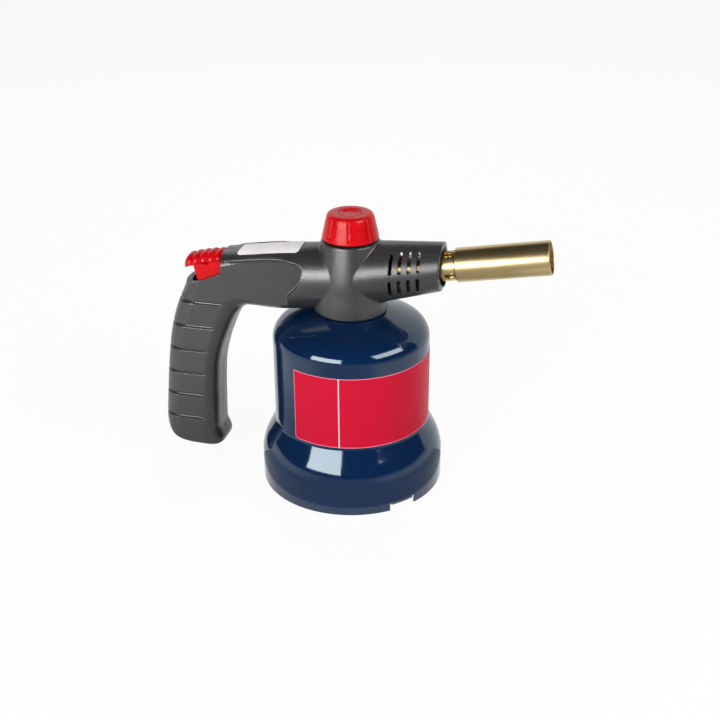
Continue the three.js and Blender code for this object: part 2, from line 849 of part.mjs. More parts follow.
// Room beside the flat sides of the handle and arm, which end in a round panel near the column
function panelCutter(side) {
  const far = -handle_reach - overrun;
  const outline = panel_end_shares.map(([x, z]) => [-x * head_height, z * head_height]);
  const [top_x, top] = outline.at(-1);
  outline.push([far, top - (top_x - far) * panel_drop_share]);
  outline.push([far, 0], [outline[0][0], 0]);
  const [low, high] = [panel_depth, arm_root_half_thickness + overrun];
  return side > 0 ? plate(outline, low, high) : plate(outline, -high, -low);
}

// Grooves round the back of the handle
function gripGrooves() {
  const grooves = [];
  const floor = panel_depth - groove_depth;
  const core = handleSkin(handle_station_shares, groove_depth)
    .intersect(block([-handle_reach, -floor, 0], [0, floor, column_top_height]));
  for (let i = 0; i < groove_count; i += 1) {
    const height = groove_lowest + i * groove_pitch;
    const front = frontOfHandle(height);
    const slab = block(
      [-handle_reach - overrun, -handle_half_thickness - overrun, height - groove_width / 2],
      [front - groove_end_inset, handle_half_thickness + overrun, height + groove_width / 2],
    );
    grooves.push(slab.subtract(core));
  }
  return grooves;
}

// X of the handle's front at a height, read along its stations
function frontOfHandle(height) {
  const share = height / head_height;
  for (let i = 1; i < handle_station_shares.length; i += 1) {
    const [low, high] = [handle_station_shares[i - 1].inner, handle_station_shares[i].inner];
    if (share <= high[1]) {
      const between = (share - low[1]) / (high[1] - low[1]);
      return handleX(THREE.MathUtils.lerp(low[0], high[0], between));
    }
  }
  return handleX(handle_station_shares.at(-1).inner[0]);
}

// Corner cut away above the handle, where the thumb lever moves
function leverOpening() {
  const far = -handle_reach - overrun;
  const edge = -lever_pivot_x - lever_hub_radius + touch_gap;
  const dip = lever_pad_height - opening_dip;
  const outline = [
    [far, dip],
    [-piezo_x - opening_dip_length, dip],
    [-piezo_x + opening_dip, lever_pad_height - touch_gap],
    [edge, lever_pad_height + opening_rise],
    [edge, column_top_height],
    [far, column_top_height],
  ];
  return plate(outline, -arm_root_half_thickness, arm_root_half_thickness);
}

// Skin that lies inside the casing's own by an inset, flat along both sides of the handle and arm
function insideSkin(inset) {
  const side = panel_depth - inset;
  const room = block([-handle_reach, -side, 0], [0, side, column_top_height]);
  return joined(
    handleSkin(handle_station_shares.slice(solid_toe_stations), inset).intersect(room),
    columnSkin(inset, casing_base_height - overrun, column_top_height - column_plate),
    noseSkin(inset, 0, nose_length + overrun, 0),
  );
}

// Room that the casing leaves over the bell's shoulder and neck
function bellClearance() {
  const outline = bellOutline(-touch_gap).filter(([, height]) => height >= shoulder_start_height);
  return turned([[0, shoulder_start_height], ...outline, [0, casing_base_height]], bell_facets);
}

// Whole casing before it is parted: skins less hollows, with webs, bosses and all openings
function wholeCasing() {
  const outside = joined(
    handleSkin(handle_station_shares, 0),
    columnSkin(0, casing_base_height, column_top_height),
    noseSkin(0, 0, nose_length, nose_edge),
  );
  const [low, high] = [-arm_root_half_thickness, arm_root_half_thickness];
  const bosses = screw_places.map(([x, z]) => crossRod(screw_boss_radius, x, z, low, high));
  const pin_boss = crossRod(pin_boss_radius, -lever_pivot_x, lever_pivot_height, low, high)
    .subtract(crossRod(
      pin_boss_radius + overrun,
      -lever_pivot_x,
      lever_pivot_height,
      -lever_hub_half_width - touch_gap,
      lever_hub_half_width + touch_gap,
    ));
  const web = rod(column_base_radius, web_base, web_top, tube_facets)
    .subtract(rod(valve_body_radius + touch_gap, web_base - overrun, web_top + overrun, tube_facets));
  const shelf = block(
    [-handle_reach, low, piezo_base_height - touch_gap - casing_wall],
    [-piezo_x + piezo_radius, high, piezo_base_height - touch_gap],
  );
  const cradle_top = piezo_top_height - piezo_bore_depth;
  const cradle = block(
    [-handle_reach, low, cradle_top - casing_wall],
    [-piezo_x + piezo_radius + casing_wall, high, cradle_top],
  ).subtract(moved(
    rod(piezo_radius + touch_gap, cradle_top - 2 * casing_wall, cradle_top + overrun, tube_facets),
    -piezo_x, 0, 0,
  ));
  const inner = joined(web, shelf, cradle, pin_boss, ...bosses).intersect(insideSkin(casing_wall / 2));
  const pin_bore = crossRod(
    lever_pin_radius + pin_gap,
    -lever_pivot_x,
    lever_pivot_height,
    -pin_half_length - touch_gap,
    pin_half_length + touch_gap,
  );
  const hub_room = crossRod(
    lever_hub_radius + touch_gap,
    -lever_pivot_x,
    lever_pivot_height,
    -lever_hub_half_width - touch_gap,
    lever_hub_half_width + touch_gap,
  );
  const knob_opening = rod(
    knob_opening_radius,
    column_top_height - 2 * column_plate,
    column_top_height + overrun,
    tube_facets,
  );
  const shell = cutBy(outside, panelCutter(1), panelCutter(-1), insideSkin(casing_wall));
  return cutBy(
    joined(shell, inner),
    bellClearance(),
    leverOpening(),
    knob_opening,
    hub_room,
    pin_bore,
    ...noseSlots(),
    ...gripGrooves(),
  );
}

const casing = wholeCasing();

function casingHalf(side) {
  const far = skirt_radius;
  const [low, high] = side > 0 ? [touch_gap / 2, far] : [-far, -touch_gap / 2];
  const room = block([-2 * handle_reach, low, -overrun], [2 * handle_reach, high, 2 * head_height]);
  const half = casing.intersect(room);
  const bores = screw_places.map(([x, z]) => {
    const seat = screw_seat_depth;
    const shank = crossRod(screw_shank_radius + touch_gap, x, z, seat - screw_length, seat + overrun);
    const head = crossRod(screw_head_radius + touch_gap, x, z, seat - touch_gap, far);
    return shank.add(head);
  });
  return cutBy(half, ...bores);
}

// Screw along Y with a socket in its head
function casingScrew(x, z) {
  const shank_end = screw_seat_depth - screw_length + touch_gap;
  const shank = crossRod(screw_shank_radius, x, z, shank_end, screw_seat_depth + touch_gap, fine_facets);
  const head_top = screw_seat_depth + screw_head_height;
  const head = crossRod(screw_head_radius, x, z, screw_seat_depth, head_top, fine_facets);
  const socket_floor = head_top - screw_socket_depth;
  const socket = crossRod(screw_socket_radius, x, z, socket_floor, head_top + overrun, hex_facets);
  return cutBy(joined(head, shank), socket);
}

// Place on the lever: a share of its length behind the hub and a share of its rise over the pivot
function leverPlace([along, up]) {
  const front = lever_hub_radius + 2 * touch_gap;
  const x = -lever_pivot_x - THREE.MathUtils.lerp(front, lever_reach, along);
  return [x, lever_pivot_height + up * lever_rise];
}

// Top of the lever's cap, from its overhanging tip to the casing, with a scallop for each rib
function ribbedTop() {
  const curve = new THREE.SplineCurve(cap_top_shares.map((at) => new THREE.Vector2(...leverPlace(at))));
  const steps = rib_count * rib_steps;
  const points = [];
  for (let i = 0; i <= steps; i += 1) {
    const share = i / steps;
    const point = curve.getPoint(share);
    const tangent = curve.getTangent(share);
    const swell = rib_height * (Math.abs(Math.sin(share * rib_count * Math.PI)) - 1);
    points.push([point.x - tangent.y * swell, point.y + tangent.x * swell]);
  }
  return points;
}

// Bar with two rounded upper edges, laid along the cap's slope, that trims the cap's sides
function capEnvelope(half) {
  const round = [];
  for (let i = 0; i <= corner_steps; i += 1) {
    const angle = (i / corner_steps) * (Math.PI / 2);
    const across = half - lever_cap_edge + lever_cap_edge * Math.sin(angle);
    round.push([across, lever_cap_edge * (Math.cos(angle) - 1)]);
  }
  const mirrored = round.map(([y, z]) => [-y, z]).reverse();
  const section = [...mirrored, ...round, [half, -lever_reach], [-half, -lever_reach]];
  const tip = leverPlace(cap_top_shares[1]);
  const front = leverPlace(cap_top_shares.at(-1));
  const slope = Math.atan2(front[1] - tip[1], front[0] - tip[0]);
  return plate(section, -2 * lever_reach, 2 * lever_reach)
    .rotate([0, 0, 90])
    .rotate([0, -slope / degree, 0])
    .translate([front[0], 0, front[1] + rib_height / 2]);
}

// Thumb lever: ribbed cap, skirt that closes the opening, neck and hub on the pin, plunger pad
function thumbLever() {
  const half = lever_cap_half_width;
  const underside = cap_underside_shares.map(leverPlace);
  const cap = plate([...ribbedTop(), ...underside], -half, half).intersect(capEnvelope(half));
  const seatX = (along) => leverPlace([along, 0])[0];
  const skirt_outline = [
    ...skirt_back_shares.map(leverPlace),
    [seatX(lever_seat_share), lever_pad_height],
    [seatX(lever_seat_front_share), lever_pad_height],
    ...skirt_front_shares.map(leverPlace),
  ];
  const skirt = plate(skirt_outline, -lever_skirt_half_width, lever_skirt_half_width);
  const hub_half = lever_hub_half_width;
  const hub = crossRod(lever_hub_radius, -lever_pivot_x, lever_pivot_height, -hub_half, hub_half);
  const neck = block(
    [seatX(0) - overrun, -hub_half, lever_pivot_height - lever_neck_half_height],
    [-lever_pivot_x, hub_half, lever_pivot_height + lever_neck_half_height],
  );
  const pad = block(
    [-piezo_x - plunger_radius, -plunger_radius, lever_pad_height],
    [-piezo_x + plunger_radius, plunger_radius, lever_pad_height + lever_pad_depth],
  );
  const bore = crossRod(lever_pin_radius + pin_gap, -lever_pivot_x, lever_pivot_height, -half, half);
  return joined(cap, skirt, hub, neck, pad).subtract(bore);
}

function leverPin() {
  const half = pin_half_length;
  return crossRod(lever_pin_radius, -lever_pivot_x, lever_pivot_height, -half, half);
}

// Igniter: body with a bore for its plunger, the plunger with its collar, and the return spring
function piezoBody() {
  const body = rod(piezo_radius, piezo_base_height, piezo_top_height, tube_facets);
  const bore = rod(piezo_bore_radius, piezo_top_height - piezo_bore_depth, piezo_top_height + overrun);
  return moved(body.subtract(bore), -piezo_x, 0, 0);
}

function piezoPlunger() {
  const base = piezo_top_height - piezo_bore_depth + plunger_travel + touch_gap;
  const tip = plunger_radius - plunger_chamfer;
  return moved(turned([
    [0, base],
    [plunger_radius, base],
    [plunger_radius, plunger_collar_base],
    [plunger_collar_radius, plunger_collar_base],
    [plunger_collar_radius, plunger_collar_base + plunger_collar_height],
    [plunger_radius, plunger_collar_base + plunger_collar_height],
    [plunger_radius, plunger_top_height - plunger_chamfer],
    [tip, plunger_top_height],
    [0, plunger_top_height],
  ], small_facets), -piezo_x, 0, 0);
}

class Helix extends THREE.Curve {
  constructor(radius, base, top, turns) {
    super();
    Object.assign(this, { radius, base, top, turns });
  }

  getPoint(share, target = new THREE.Vector3()) {
    const angle = share * this.turns * full_turn;
    const height = THREE.MathUtils.lerp(this.base, this.top, share);
    return target.set(this.radius * Math.cos(angle), this.radius * Math.sin(angle), height);
  }
}

// Least gap between the wire of one turn and any part of the wire half a turn or more away
function leastGap(curve, radius, turns) {
  const half_turn = 2 * turn_steps;
  const points = curve.getSpacedPoints(2 * turns * half_turn);
  let least = Infinity;
  for (let i = 0; i < points.length; i += 1) {
    for (let k = i + half_turn; k < points.length; k += 1) {
      least = Math.min(least, points[i].distanceTo(points[k]) - 2 * radius);
    }
  }
  return least;
}

function igniterSpring() {
  const wire = igniter_spring_wire_radius;
  const base = piezo_top_height + touch_gap + wire;
  const top = plunger_collar_base - touch_gap - wire;
  const curve = new Helix(igniter_spring_radius, base, top, igniter_spring_turns);
  const gap = leastGap(curve, wire, igniter_spring_turns);
  console.log(`igniter spring: least gap between turns ${gap.toFixed(2)} mm`);
  return moved(tube(curve, wire, igniter_spring_turns * turn_steps, wire_sides), -piezo_x, 0, 0);
}

// Unit vector along the burner, and the one from it to the throat's hole on the far side
function burnerDirections() {
  const along = new THREE.Vector3(Math.cos(burner_tilt), 0, Math.sin(burner_tilt));
  const up = new THREE.Vector3(-Math.sin(burner_tilt), 0, Math.cos(burner_tilt));
  const across = new THREE.Vector3(0, Math.cos(throat_hole_first_angle), 0);
  return [along, across.addScaledVector(up, -Math.sin(throat_hole_first_angle))];
}

// Point beside the burner axis, in line with the hole that the electrode enters
function besideBurner(place, offset) {
  const [along, towards] = burnerDirections();
  const point = new THREE.Vector3(0, 0, burner_axis_height);
  return point.addScaledVector(along, place).addScaledVector(towards, offset);
}

// Round section swept along an open curve
function swept(curve, radius, steps, sides) {
  const section = new THREE.Shape();
  for (let k = 0; k < sides; k += 1) {
    const angle = (k / sides) * full_turn;
    const [x, y] = [radius * Math.cos(angle), radius * Math.sin(angle)];
    if (k === 0) section.moveTo(x, y);
    else section.lineTo(x, y);
  }
  section.closePath();
  const settings = { steps, bevelEnabled: false, extrudePath: curve };
  return solid(new THREE.ExtrudeGeometry(section, settings));
}

// High-voltage lead from the side of the igniter, through the arm and past the valve
function ignitionLead() {
  const start = new THREE.Vector3(
    -piezo_x + piezo_radius + touch_gap,
    0,
    piezo_top_height - lead_exit_drop,
  );
  const end = insulator_start - touch_gap;
  const points = [
    start,
    ...arm_lead_route_shares.map(([along, side, up]) => (
      new THREE.Vector3(handleX(along), side * head_height, up * head_height)
    )),
    ...valve_lead_route_shares.map((at) => new THREE.Vector3(...at).multiplyScalar(head_height)),
    besideBurner(end - lead_straight, insulator_offset),
    besideBurner(end, insulator_offset),
  ];
  const curve = new THREE.CatmullRomCurve3(points, false, "centripetal");
  return swept(curve, lead_radius, lead_steps, lead_sides);
}

// Ceramic sleeve round the electrode
function electrodeInsulator() {
  const body = ring(
    insulator_radius,
    electrode_radius + pin_gap,
    insulator_start,
    insulator_end,
    fine_facets,
  );
  const angle = -throat_hole_first_angle;
  const [x, y] = [-insulator_offset * Math.sin(angle), insulator_offset * Math.cos(angle)];
  return onBurnerAxis(moved(body, x, y, 0));
}

// Electrode: straight through its sleeve, then bent into the throat's hole
function sparkElectrode() {
  const inner_end = throat_bore_radius - electrode_reach_in;
  const [bend_start, bend] = [throat_hole_place - electrode_bend, insulator_offset - electrode_bend];
  const path = new THREE.CurvePath();
  path.add(new THREE.LineCurve3(
    besideBurner(insulator_start + touch_gap, insulator_offset),
    besideBurner(bend_start, insulator_offset),
  ));
  path.add(new THREE.QuadraticBezierCurve3(
    besideBurner(bend_start, insulator_offset),
    besideBurner(throat_hole_place, insulator_offset),
    besideBurner(throat_hole_place, bend),
  ));
  path.add(new THREE.LineCurve3(
    besideBurner(throat_hole_place, bend),
    besideBurner(throat_hole_place, inner_end),
  ));
  return swept(path, electrode_radius, electrode_steps, hex_facets);
}

// Gas tube from the valve to the throat, and the jet that it feeds
function gasTube() {
  const inner = gas_tube_radius - gas_tube_wall;
  return onBurnerAxis(ring(gas_tube_radius, inner, gas_tube_start, gas_tube_end, small_facets));
}

function injectorJet() {
  const end = jet_start + jet_length;
  return onBurnerAxis(turned([
    [jet_bore_radius, jet_start],
    [jet_radius, jet_start],
    [jet_radius, end - jet_chamfer],
    [jet_radius - jet_chamfer, end],
    [jet_bore_radius, end],
  ], small_facets));
}

// Throat: socket for the gas tube, seat for the jet and four air holes
function burnerThroat() {
  const end = flame_tube_start + throat_overlap;
  const socket = gas_tube_radius + touch_gap;
  const seat = jet_radius + touch_gap;
  const socket_floor = throat_start + gas_tube_seat;
  const sleeve = turned([
    [socket, throat_start],
    [throat_radius, throat_start],
    [throat_radius, end],
    [throat_bore_radius, end],
    [throat_bore_radius, throat_floor],
    [seat, throat_floor],
    [seat, socket_floor],
    [socket, socket_floor],
  ], tube_facets);
  const holes = [];
  for (let i = 0; i < throat_hole_count; i += 1) {
    const turn = throat_hole_first_angle / degree + (i * 360) / throat_hole_count;
    const hole = rod(throat_hole_radius, 0, throat_radius + overrun, small_facets)
      .subtract(rod(throat_hole_radius + overrun, -overrun, jet_radius + touch_gap))
      .rotate([90, 0, 0])
      .rotate([0, 0, -turn])
      .translate([0, 0, throat_hole_place]);
    holes.push(hole);
  }
  return onBurnerAxis(cutBy(sleeve, ...holes));
}

function flameHolder() {
  const base = flame_tube_start + throat_overlap + touch_gap;
  const radius = flame_tube_radius - flame_tube_wall - touch_gap;
  const disc = ring(radius, holder_centre_hole_radius, base, base + holder_thickness, tube_facets);
  const holes = [];
  for (let i = 0; i < holder_hole_count; i += 1) {
    const turn = (i / holder_hole_count) * full_turn;
    const hole = rod(holder_hole_radius, base - overrun, base + holder_thickness + overrun, fine_facets);
    holes.push(moved(hole, holder_hole_circle * Math.cos(turn), holder_hole_circle * Math.sin(turn), 0));
  }
  return onBurnerAxis(cutBy(disc, ...holes));
}

function flameTube() {
  const bore = flame_tube_radius - flame_tube_wall;
  const edge = flame_tube_chamfer;
  return onBurnerAxis(turned([
    [bore, flame_tube_start],
    [flame_tube_radius - edge, flame_tube_start],
    [flame_tube_radius, flame_tube_start + edge],
    [flame_tube_radius, flame_tube_end],
    [bore, flame_tube_end],
  ], tube_facets));
}

// Knob: tapered cup with flutes, a hub with a square socket and a groove for its clip
function knob() {
  const base = knob_base_height;
  const rim = base + knob_rim_height;
  const crown = base + knob_crown_height;
  const hub_base = base - knob_hub_drop;
  const outside = turned([
    [0, base],
    [knob_base_radius, base],
    [knob_lip_radius, base + knob_lip_height],
    [knob_rim_radius, rim],
    [
      THREE.MathUtils.lerp(knob_crown_radius, knob_rim_radius, knob_shoulder_share),
      THREE.MathUtils.lerp(rim, crown, knob_shoulder_share),
    ],
    [knob_crown_radius, crown],
    [0, crown],
  ], tube_facets);
  const hollow = turned([
    [knob_hub_radius, base - overrun],
    [knob_base_radius - knob_wall, base - overrun],
    [knob_base_radius - knob_wall, base],
    [knob_rim_radius - knob_wall, rim - knob_wall],
    [knob_hub_radius, rim - knob_wall],
  ], tube_facets);
  const hub = rod(knob_hub_radius, hub_base, base + overrun);
  const groove_base = clip_base_height - touch_gap;
  const groove_top = clip_base_height + clip_height + touch_gap;
  const groove_floor = knob_hub_radius - clip_groove_depth;
  const groove = ring(knob_hub_radius + overrun, groove_floor, groove_base, groove_top, small_facets);
  const half = drive_width / 2 + touch_gap;
  const socket_top = drive_top_height + spindle_lift + touch_gap;
  const socket = block([-half, -half, hub_base - overrun], [half, half, socket_top]);
  const recess = rod(knob_recess_radius, crown - knob_recess_depth, crown + overrun);
  const lean = Math.atan2(knob_lip_radius - knob_rim_radius, knob_rim_height - knob_lip_height) / degree;
  const flute_base = knob_rim_height * flute_low_share;
  const flutes = [];
  for (let i = 0; i < knob_flute_count; i += 1) {
    const turn = knob_flute_first_angle / degree + (i * 360) / knob_flute_count;
    const flute = rod(knob_flute_radius, flute_base, knob_crown_height + overrun, fine_facets)
      .translate([knob_flute_radius - knob_flute_depth, 0, 0])
      .rotate([0, -lean, 0])
      .translate([knob_lip_radius, 0, base])
      .rotate([0, 0, turn]);
    flutes.push(flute);
  }
  return cutBy(outside.subtract(hollow).add(hub), groove, socket, recess, ...flutes);
}

function knobCap() {
  const crown = knob_base_height + knob_crown_height;
  const base = crown - knob_recess_depth + touch_gap;
  const top = base + knob_cap_height;
  return turned([
    [0, base],
    [knob_recess_radius - touch_gap, base],
    [knob_recess_radius - touch_gap, top],
    [knob_cap_dish_radius, top],
    [knob_cap_dish_radius - knob_cap_dish_depth, top - knob_cap_dish_depth],
    [0, top - knob_cap_dish_depth],
  ], small_facets);
}

function knobClip() {
  const inner = knob_hub_radius - clip_groove_depth + touch_gap;
  const top = clip_base_height + clip_height;
  const body = ring(clip_outer_radius, inner, clip_base_height, top, small_facets);
  const mouth = block(
    [0, -clip_mouth / 2, clip_base_height - overrun],
    [clip_outer_radius + overrun, clip_mouth / 2, top + overrun],
  );
  return body.subtract(mouth);
}

// Finishes
const finish = (color, roughness, metalness) => () => {
  return new THREE.MeshStandardMaterial({ color, roughness, metalness, flatShading: true });
};
const blue_enamel = finish(0x0f2348, 0.25, 0);
const dark_plastic = finish(0x3a3a3c, 0.55, 0);
const red_plastic = finish(0xc4121c, 0.25, 0);
const polished_brass = finish(0xc8a75a, 0.3, 1);
const turned_brass = finish(0xb08d45, 0.4, 1);
const steel = finish(0x9a9da1, 0.35, 1);
const zinc_plate = finish(0xb4b7ba, 0.45, 1);
const rubber = finish(0x161616, 0.8, 0);
const ceramic = finish(0xe9e4d8, 0.5, 0);
const can_enamel = finish(0xc9ccd0, 0.4, 0.4);
const igniter_plastic = finish(0x1f1f22, 0.5, 0);
const lead_jacket = finish(0xa02020, 0.5, 0);

const pieces = [
  ["bell_housing", bellHousing, blue_enamel],
  ["threaded_collar", threadedCollar, zinc_plate],
  ["gas_cartridge", gasCartridge, can_enamel],
  ["retaining_wire", retainingWire, steel],
  ["casing_left", () => casingHalf(1), dark_plastic],
  ["casing_right", () => casingHalf(-1), dark_plastic],
  ["valve_body", valveBody, turned_brass],
  ["piercing_needle", piercingNeedle, steel],
  ["cartridge_gasket", cartridgeGasket, rubber],
  ["gland_nut", glandNut, turned_brass],
  ["spindle_seal", spindleSeal, rubber],
  ["valve_spindle", valveSpindle, steel],
  ["gas_tube", gasTube, turned_brass],
  ["injector_jet", injectorJet, turned_brass],
  ["burner_throat", burnerThroat, polished_brass],
  ["flame_holder", flameHolder, turned_brass],
  ["flame_tube", flameTube, polished_brass],
  ["electrode_insulator", electrodeInsulator, ceramic],
  ["spark_electrode", sparkElectrode, steel],
  ["ignition_lead", ignitionLead, lead_jacket],
  ["piezo_body", piezoBody, igniter_plastic],
  ["piezo_plunger", piezoPlunger, red_plastic],
  ["igniter_spring", igniterSpring, steel],
  ["thumb_lever", thumbLever, red_plastic],
  ["lever_pin", leverPin, steel],
  ["knob", knob, red_plastic],
  ["knob_cap", knobCap, red_plastic],
  ["knob_clip", knobClip, steel],
  ...screw_places.map(([x, z], i) => [`casing_screw_${i + 1}`, () => casingScrew(x, z), zinc_plate]),
];

// The origin is on the surface that the torch stands on, midway between handle and flame tube mouth
const burner_reach = flame_tube_end * Math.cos(burner_tilt) + flame_tube_radius * Math.sin(burner_tilt);
const torch = new THREE.Group();
torch.name = "gas_torch";
torch.position.x = (handle_reach - burner_reach) / 2;
for (const [name, make, material] of pieces) {
  const mesh = new THREE.Mesh(geometryOf(make()), material());
  mesh.name = name;
  torch.add(mesh);
}

export default torch;
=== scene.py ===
import math

import bmesh
import bpy
import numpy as np
from mathutils import Matrix, Vector


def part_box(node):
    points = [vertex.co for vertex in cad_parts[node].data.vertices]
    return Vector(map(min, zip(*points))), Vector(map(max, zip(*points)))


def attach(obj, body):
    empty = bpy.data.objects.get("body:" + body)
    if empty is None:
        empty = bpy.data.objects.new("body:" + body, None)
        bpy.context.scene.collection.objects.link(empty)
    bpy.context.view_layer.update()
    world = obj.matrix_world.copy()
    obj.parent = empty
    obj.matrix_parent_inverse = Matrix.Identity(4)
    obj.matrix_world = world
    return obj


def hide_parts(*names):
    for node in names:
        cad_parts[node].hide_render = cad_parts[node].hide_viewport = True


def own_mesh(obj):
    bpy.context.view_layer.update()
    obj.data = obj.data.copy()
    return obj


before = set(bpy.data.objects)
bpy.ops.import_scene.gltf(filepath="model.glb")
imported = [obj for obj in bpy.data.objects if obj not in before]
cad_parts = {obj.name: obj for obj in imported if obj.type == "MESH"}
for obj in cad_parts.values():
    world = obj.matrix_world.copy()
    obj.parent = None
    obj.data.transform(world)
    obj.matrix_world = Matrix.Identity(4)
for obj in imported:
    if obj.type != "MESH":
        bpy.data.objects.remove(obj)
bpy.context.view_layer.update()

bl_info = {
    "name": "Gas torch",
    "version": (1, 0, 0),
    "blender": (4, 5, 0),
    "location": "3D View > Sidebar > Gas torch",
    "description": "Builds the pieces and finishes of a hand-held gas torch round its packed model",
    "category": "Object",
}

MM = 0.001
BELL_AXIS = sum(corner.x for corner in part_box("bell_housing")) / 2
BURNER_TILT = math.radians(10)
BURNER_AXIS_HEIGHT = 133.0
CORNER_SHARE = 0.49  # share of a side that one rounded corner may take
TONGUES = [math.radians(-42), math.radians(138)]  # angles of the bell's two tongues
CASING_VOXEL = 0.0005  # metres between the points of the casing's skin
SHELL_REACH, PACKED_REACH = 2e-6, 1e-6  # metres within which points are merged
RIM_POINTS = 7  # points of the bell's outline below its flare
CLEAR_POINT = 59  # point of the bell's outline, low on its shoulder, above which the casing lies


# ---- sizes and colours, each property with its unit or subtype

def a_float(name, description, default, **options):
    return bpy.props.FloatProperty(name=name, description=description, default=default, **options)


def a_length(name, description, default):
    return a_float(name, description, default, unit="LENGTH", subtype="DISTANCE")


def an_angle(name, description, degrees):
    return a_float(name, description, math.radians(degrees), unit="ROTATION", subtype="ANGLE")


def a_power(name, description, default):
    return a_float(name, description, default, unit="POWER")


def a_number(name, description, default):
    return bpy.props.IntProperty(name=name, description=description, default=default)


def a_colour(name, description, default):
    return bpy.props.FloatVectorProperty(
        name=name, description=description, default=default, subtype="COLOR")


class TorchShape(bpy.types.PropertyGroup):
    body_radius: a_length("Body radius", "Radius of the bell's straight body", 0.0475)
    skirt_radius: a_length("Skirt radius", "Radius of the bell's straight skirt", 0.056)
    sheet_wall: a_length("Sheet", "Thickness of the bell's steel sheet", 0.0009)
    label_low: a_length("Label foot", "Height of the label's lower edge", 0.0413)
    label_high: a_length("Label top", "Height of the label's upper edge", 0.0868)
    label_start: an_angle("Label start", "Angle about the bell at which the label starts", -120.3)
    label_end: an_angle("Label end", "Angle about the bell at which the label ends", 31)
    label_line: a_length("Label line", "Way along the label to its upright line", 0.0298)
    groove_depth: a_length("Groove depth", "Depth of the grip grooves", 0.0013)
    groove_width: a_length("Groove width", "Width of the grip grooves", 0.0015)
    rib_count: a_number("Lever ribs", "Ribs across the thumb lever", 5)
    rib_height: a_length("Rib height", "Height of the thumb lever's ribs", 0.001)
    flute_count: a_number("Knob flutes", "Flutes round the knob", 8)
    flute_depth: a_length("Flute depth", "Depth of the knob's flutes", 0.0009)


class TorchFinish(bpy.types.PropertyGroup):
    plastic: a_colour("Casing", "Colour of the moulded casing", (0.027, 0.027, 0.0282))
    red: a_colour("Knob and lever", "Colour of the knob and thumb lever", (0.52, 0.0015, 0.005))
    enamel: a_colour("Enamel", "Colour of the bell's enamel", (0.0012, 0.0136, 0.051))
    brass: a_colour("Brass", "Colour of the polished brass", (0.66, 0.52, 0.27))
    label: a_colour("Label", "Colour of the label's field", (0.47, 0.003, 0.026))


class TorchStage(bpy.types.PropertyGroup):
    floor: a_colour("Floor", "Colour of the floor and the wall round it", (0.86, 0.86, 0.86))
    key_power: a_power("Key lamp", "Power of the large front lamp", 17.5)
    side_power: a_power("Side lamp", "Power of the side lamp", 12.0)
    back_power: a_power("Back lamp", "Power of the soft lamp behind", 6.0)
    glow: a_float(
        "Floor glow", "Share of plain white that the camera and reflections see in the floor and wall",
        0.93, min=0, max=1)


def millimetres(*lengths):
    """Lengths in metres as millimetres: one number, or one for each."""
    return lengths[0] / MM if len(lengths) == 1 else [length / MM for length in lengths]


def shape():
    """The sizes of the torch."""
    return bpy.context.scene.torch_shape


# ---- outlines and grids

def curve_through(knots, count):
    """Cubic through the knots, with the chord length as its parameter. The slope at a knot is that
    of the parabola through it and its neighbours; each span is a cubic Hermite blend."""
    knots = np.asarray(knots, float)
    chord = np.linalg.norm(np.diff(knots[:, :2], axis=0), axis=1)
    at = np.concatenate([[0], np.cumsum(chord)])
    rise = np.diff(knots, axis=0) / np.diff(at)[:, None]
    slope = np.empty_like(knots)
    before, after = np.diff(at)[:-1, None], np.diff(at)[1:, None]
    slope[1:-1] = (rise[:-1] * after + rise[1:] * before) / (before + after)
    slope[0], slope[-1] = rise[0], rise[-1]
    where = np.linspace(0, at[-1], count)
    span = np.clip(np.searchsorted(at, where, side="right") - 1, 0, len(at) - 2)
    length = np.diff(at)[span][:, None]
    s = ((where - at[span]) / length[:, 0])[:, None]
    return (knots[span] * (2 * s**3 - 3 * s**2 + 1) + knots[span + 1] * (3 * s**2 - 2 * s**3)
            + slope[span] * length * (s**3 - 2 * s**2 + s) + slope[span + 1] * length * (s**3 - s**2))


def rounded(corners, steps=5, closed=False):
    """Outline with its corners (across, up, radius) rounded: each corner becomes a quadratic curve
    that leaves and meets its sides at the radius times the tangent of half the turn."""
    corners = np.asarray(corners, float)
    outline = []
    count = len(corners)
    for i, (across, up, radius) in enumerate(corners):
        here = np.array([across, up])
        if radius == 0 or (not closed and i in (0, count - 1)):
            outline.append(here[None])
            continue
        back = corners[i - 1, :2] - here
        ahead = corners[(i + 1) % count, :2] - here
        sides = np.linalg.norm(back), np.linalg.norm(ahead)
        turn = math.pi - math.acos(np.clip(back @ ahead / sides[0] / sides[1], -1, 1))
        reach = min(radius * math.tan(turn / 2), CORNER_SHARE * sides[0], CORNER_SHARE * sides[1])
        start = here + back / sides[0] * reach
        end = here + ahead / sides[1] * reach
        s = np.linspace(0, 1, steps + 1)[:, None]
        weight = math.cos(turn / 2)
        blend = (1 - s) ** 2 + 2 * weight * s * (1 - s) + s**2
        outline.append((start * (1 - s) ** 2 + here * 2 * weight * s * (1 - s) + end * s**2) / blend)
    return np.concatenate(outline)


def inset_outline(outline, depth):
    """Outline moved sideways by a depth, along the normal at each of its points."""
    along = np.gradient(outline, axis=0)
    along /= np.linalg.norm(along, axis=1)[:, None]
    return outline + depth * np.stack([-along[:, 1], along[:, 0]], axis=1)


def closed_curve(knots, spans):
    """Closed curve through the knots: between two of them a cubic whose slope at each is half of
    the step between its neighbours."""
    s = np.linspace(0, 1, spans, endpoint=False)[:, None]
    knots = np.array(knots, float)[:, None]
    before, start, end, after = (np.roll(knots, by, 0) for by in (1, 0, -1, -2))
    path = 0.5 * (2 * start + (end - before) * s
                  + (2 * before - 5 * start + 4 * end - after) * s**2
                  + (3 * start - before - 3 * end + after) * s**3)
    return path.reshape(-1, 3)


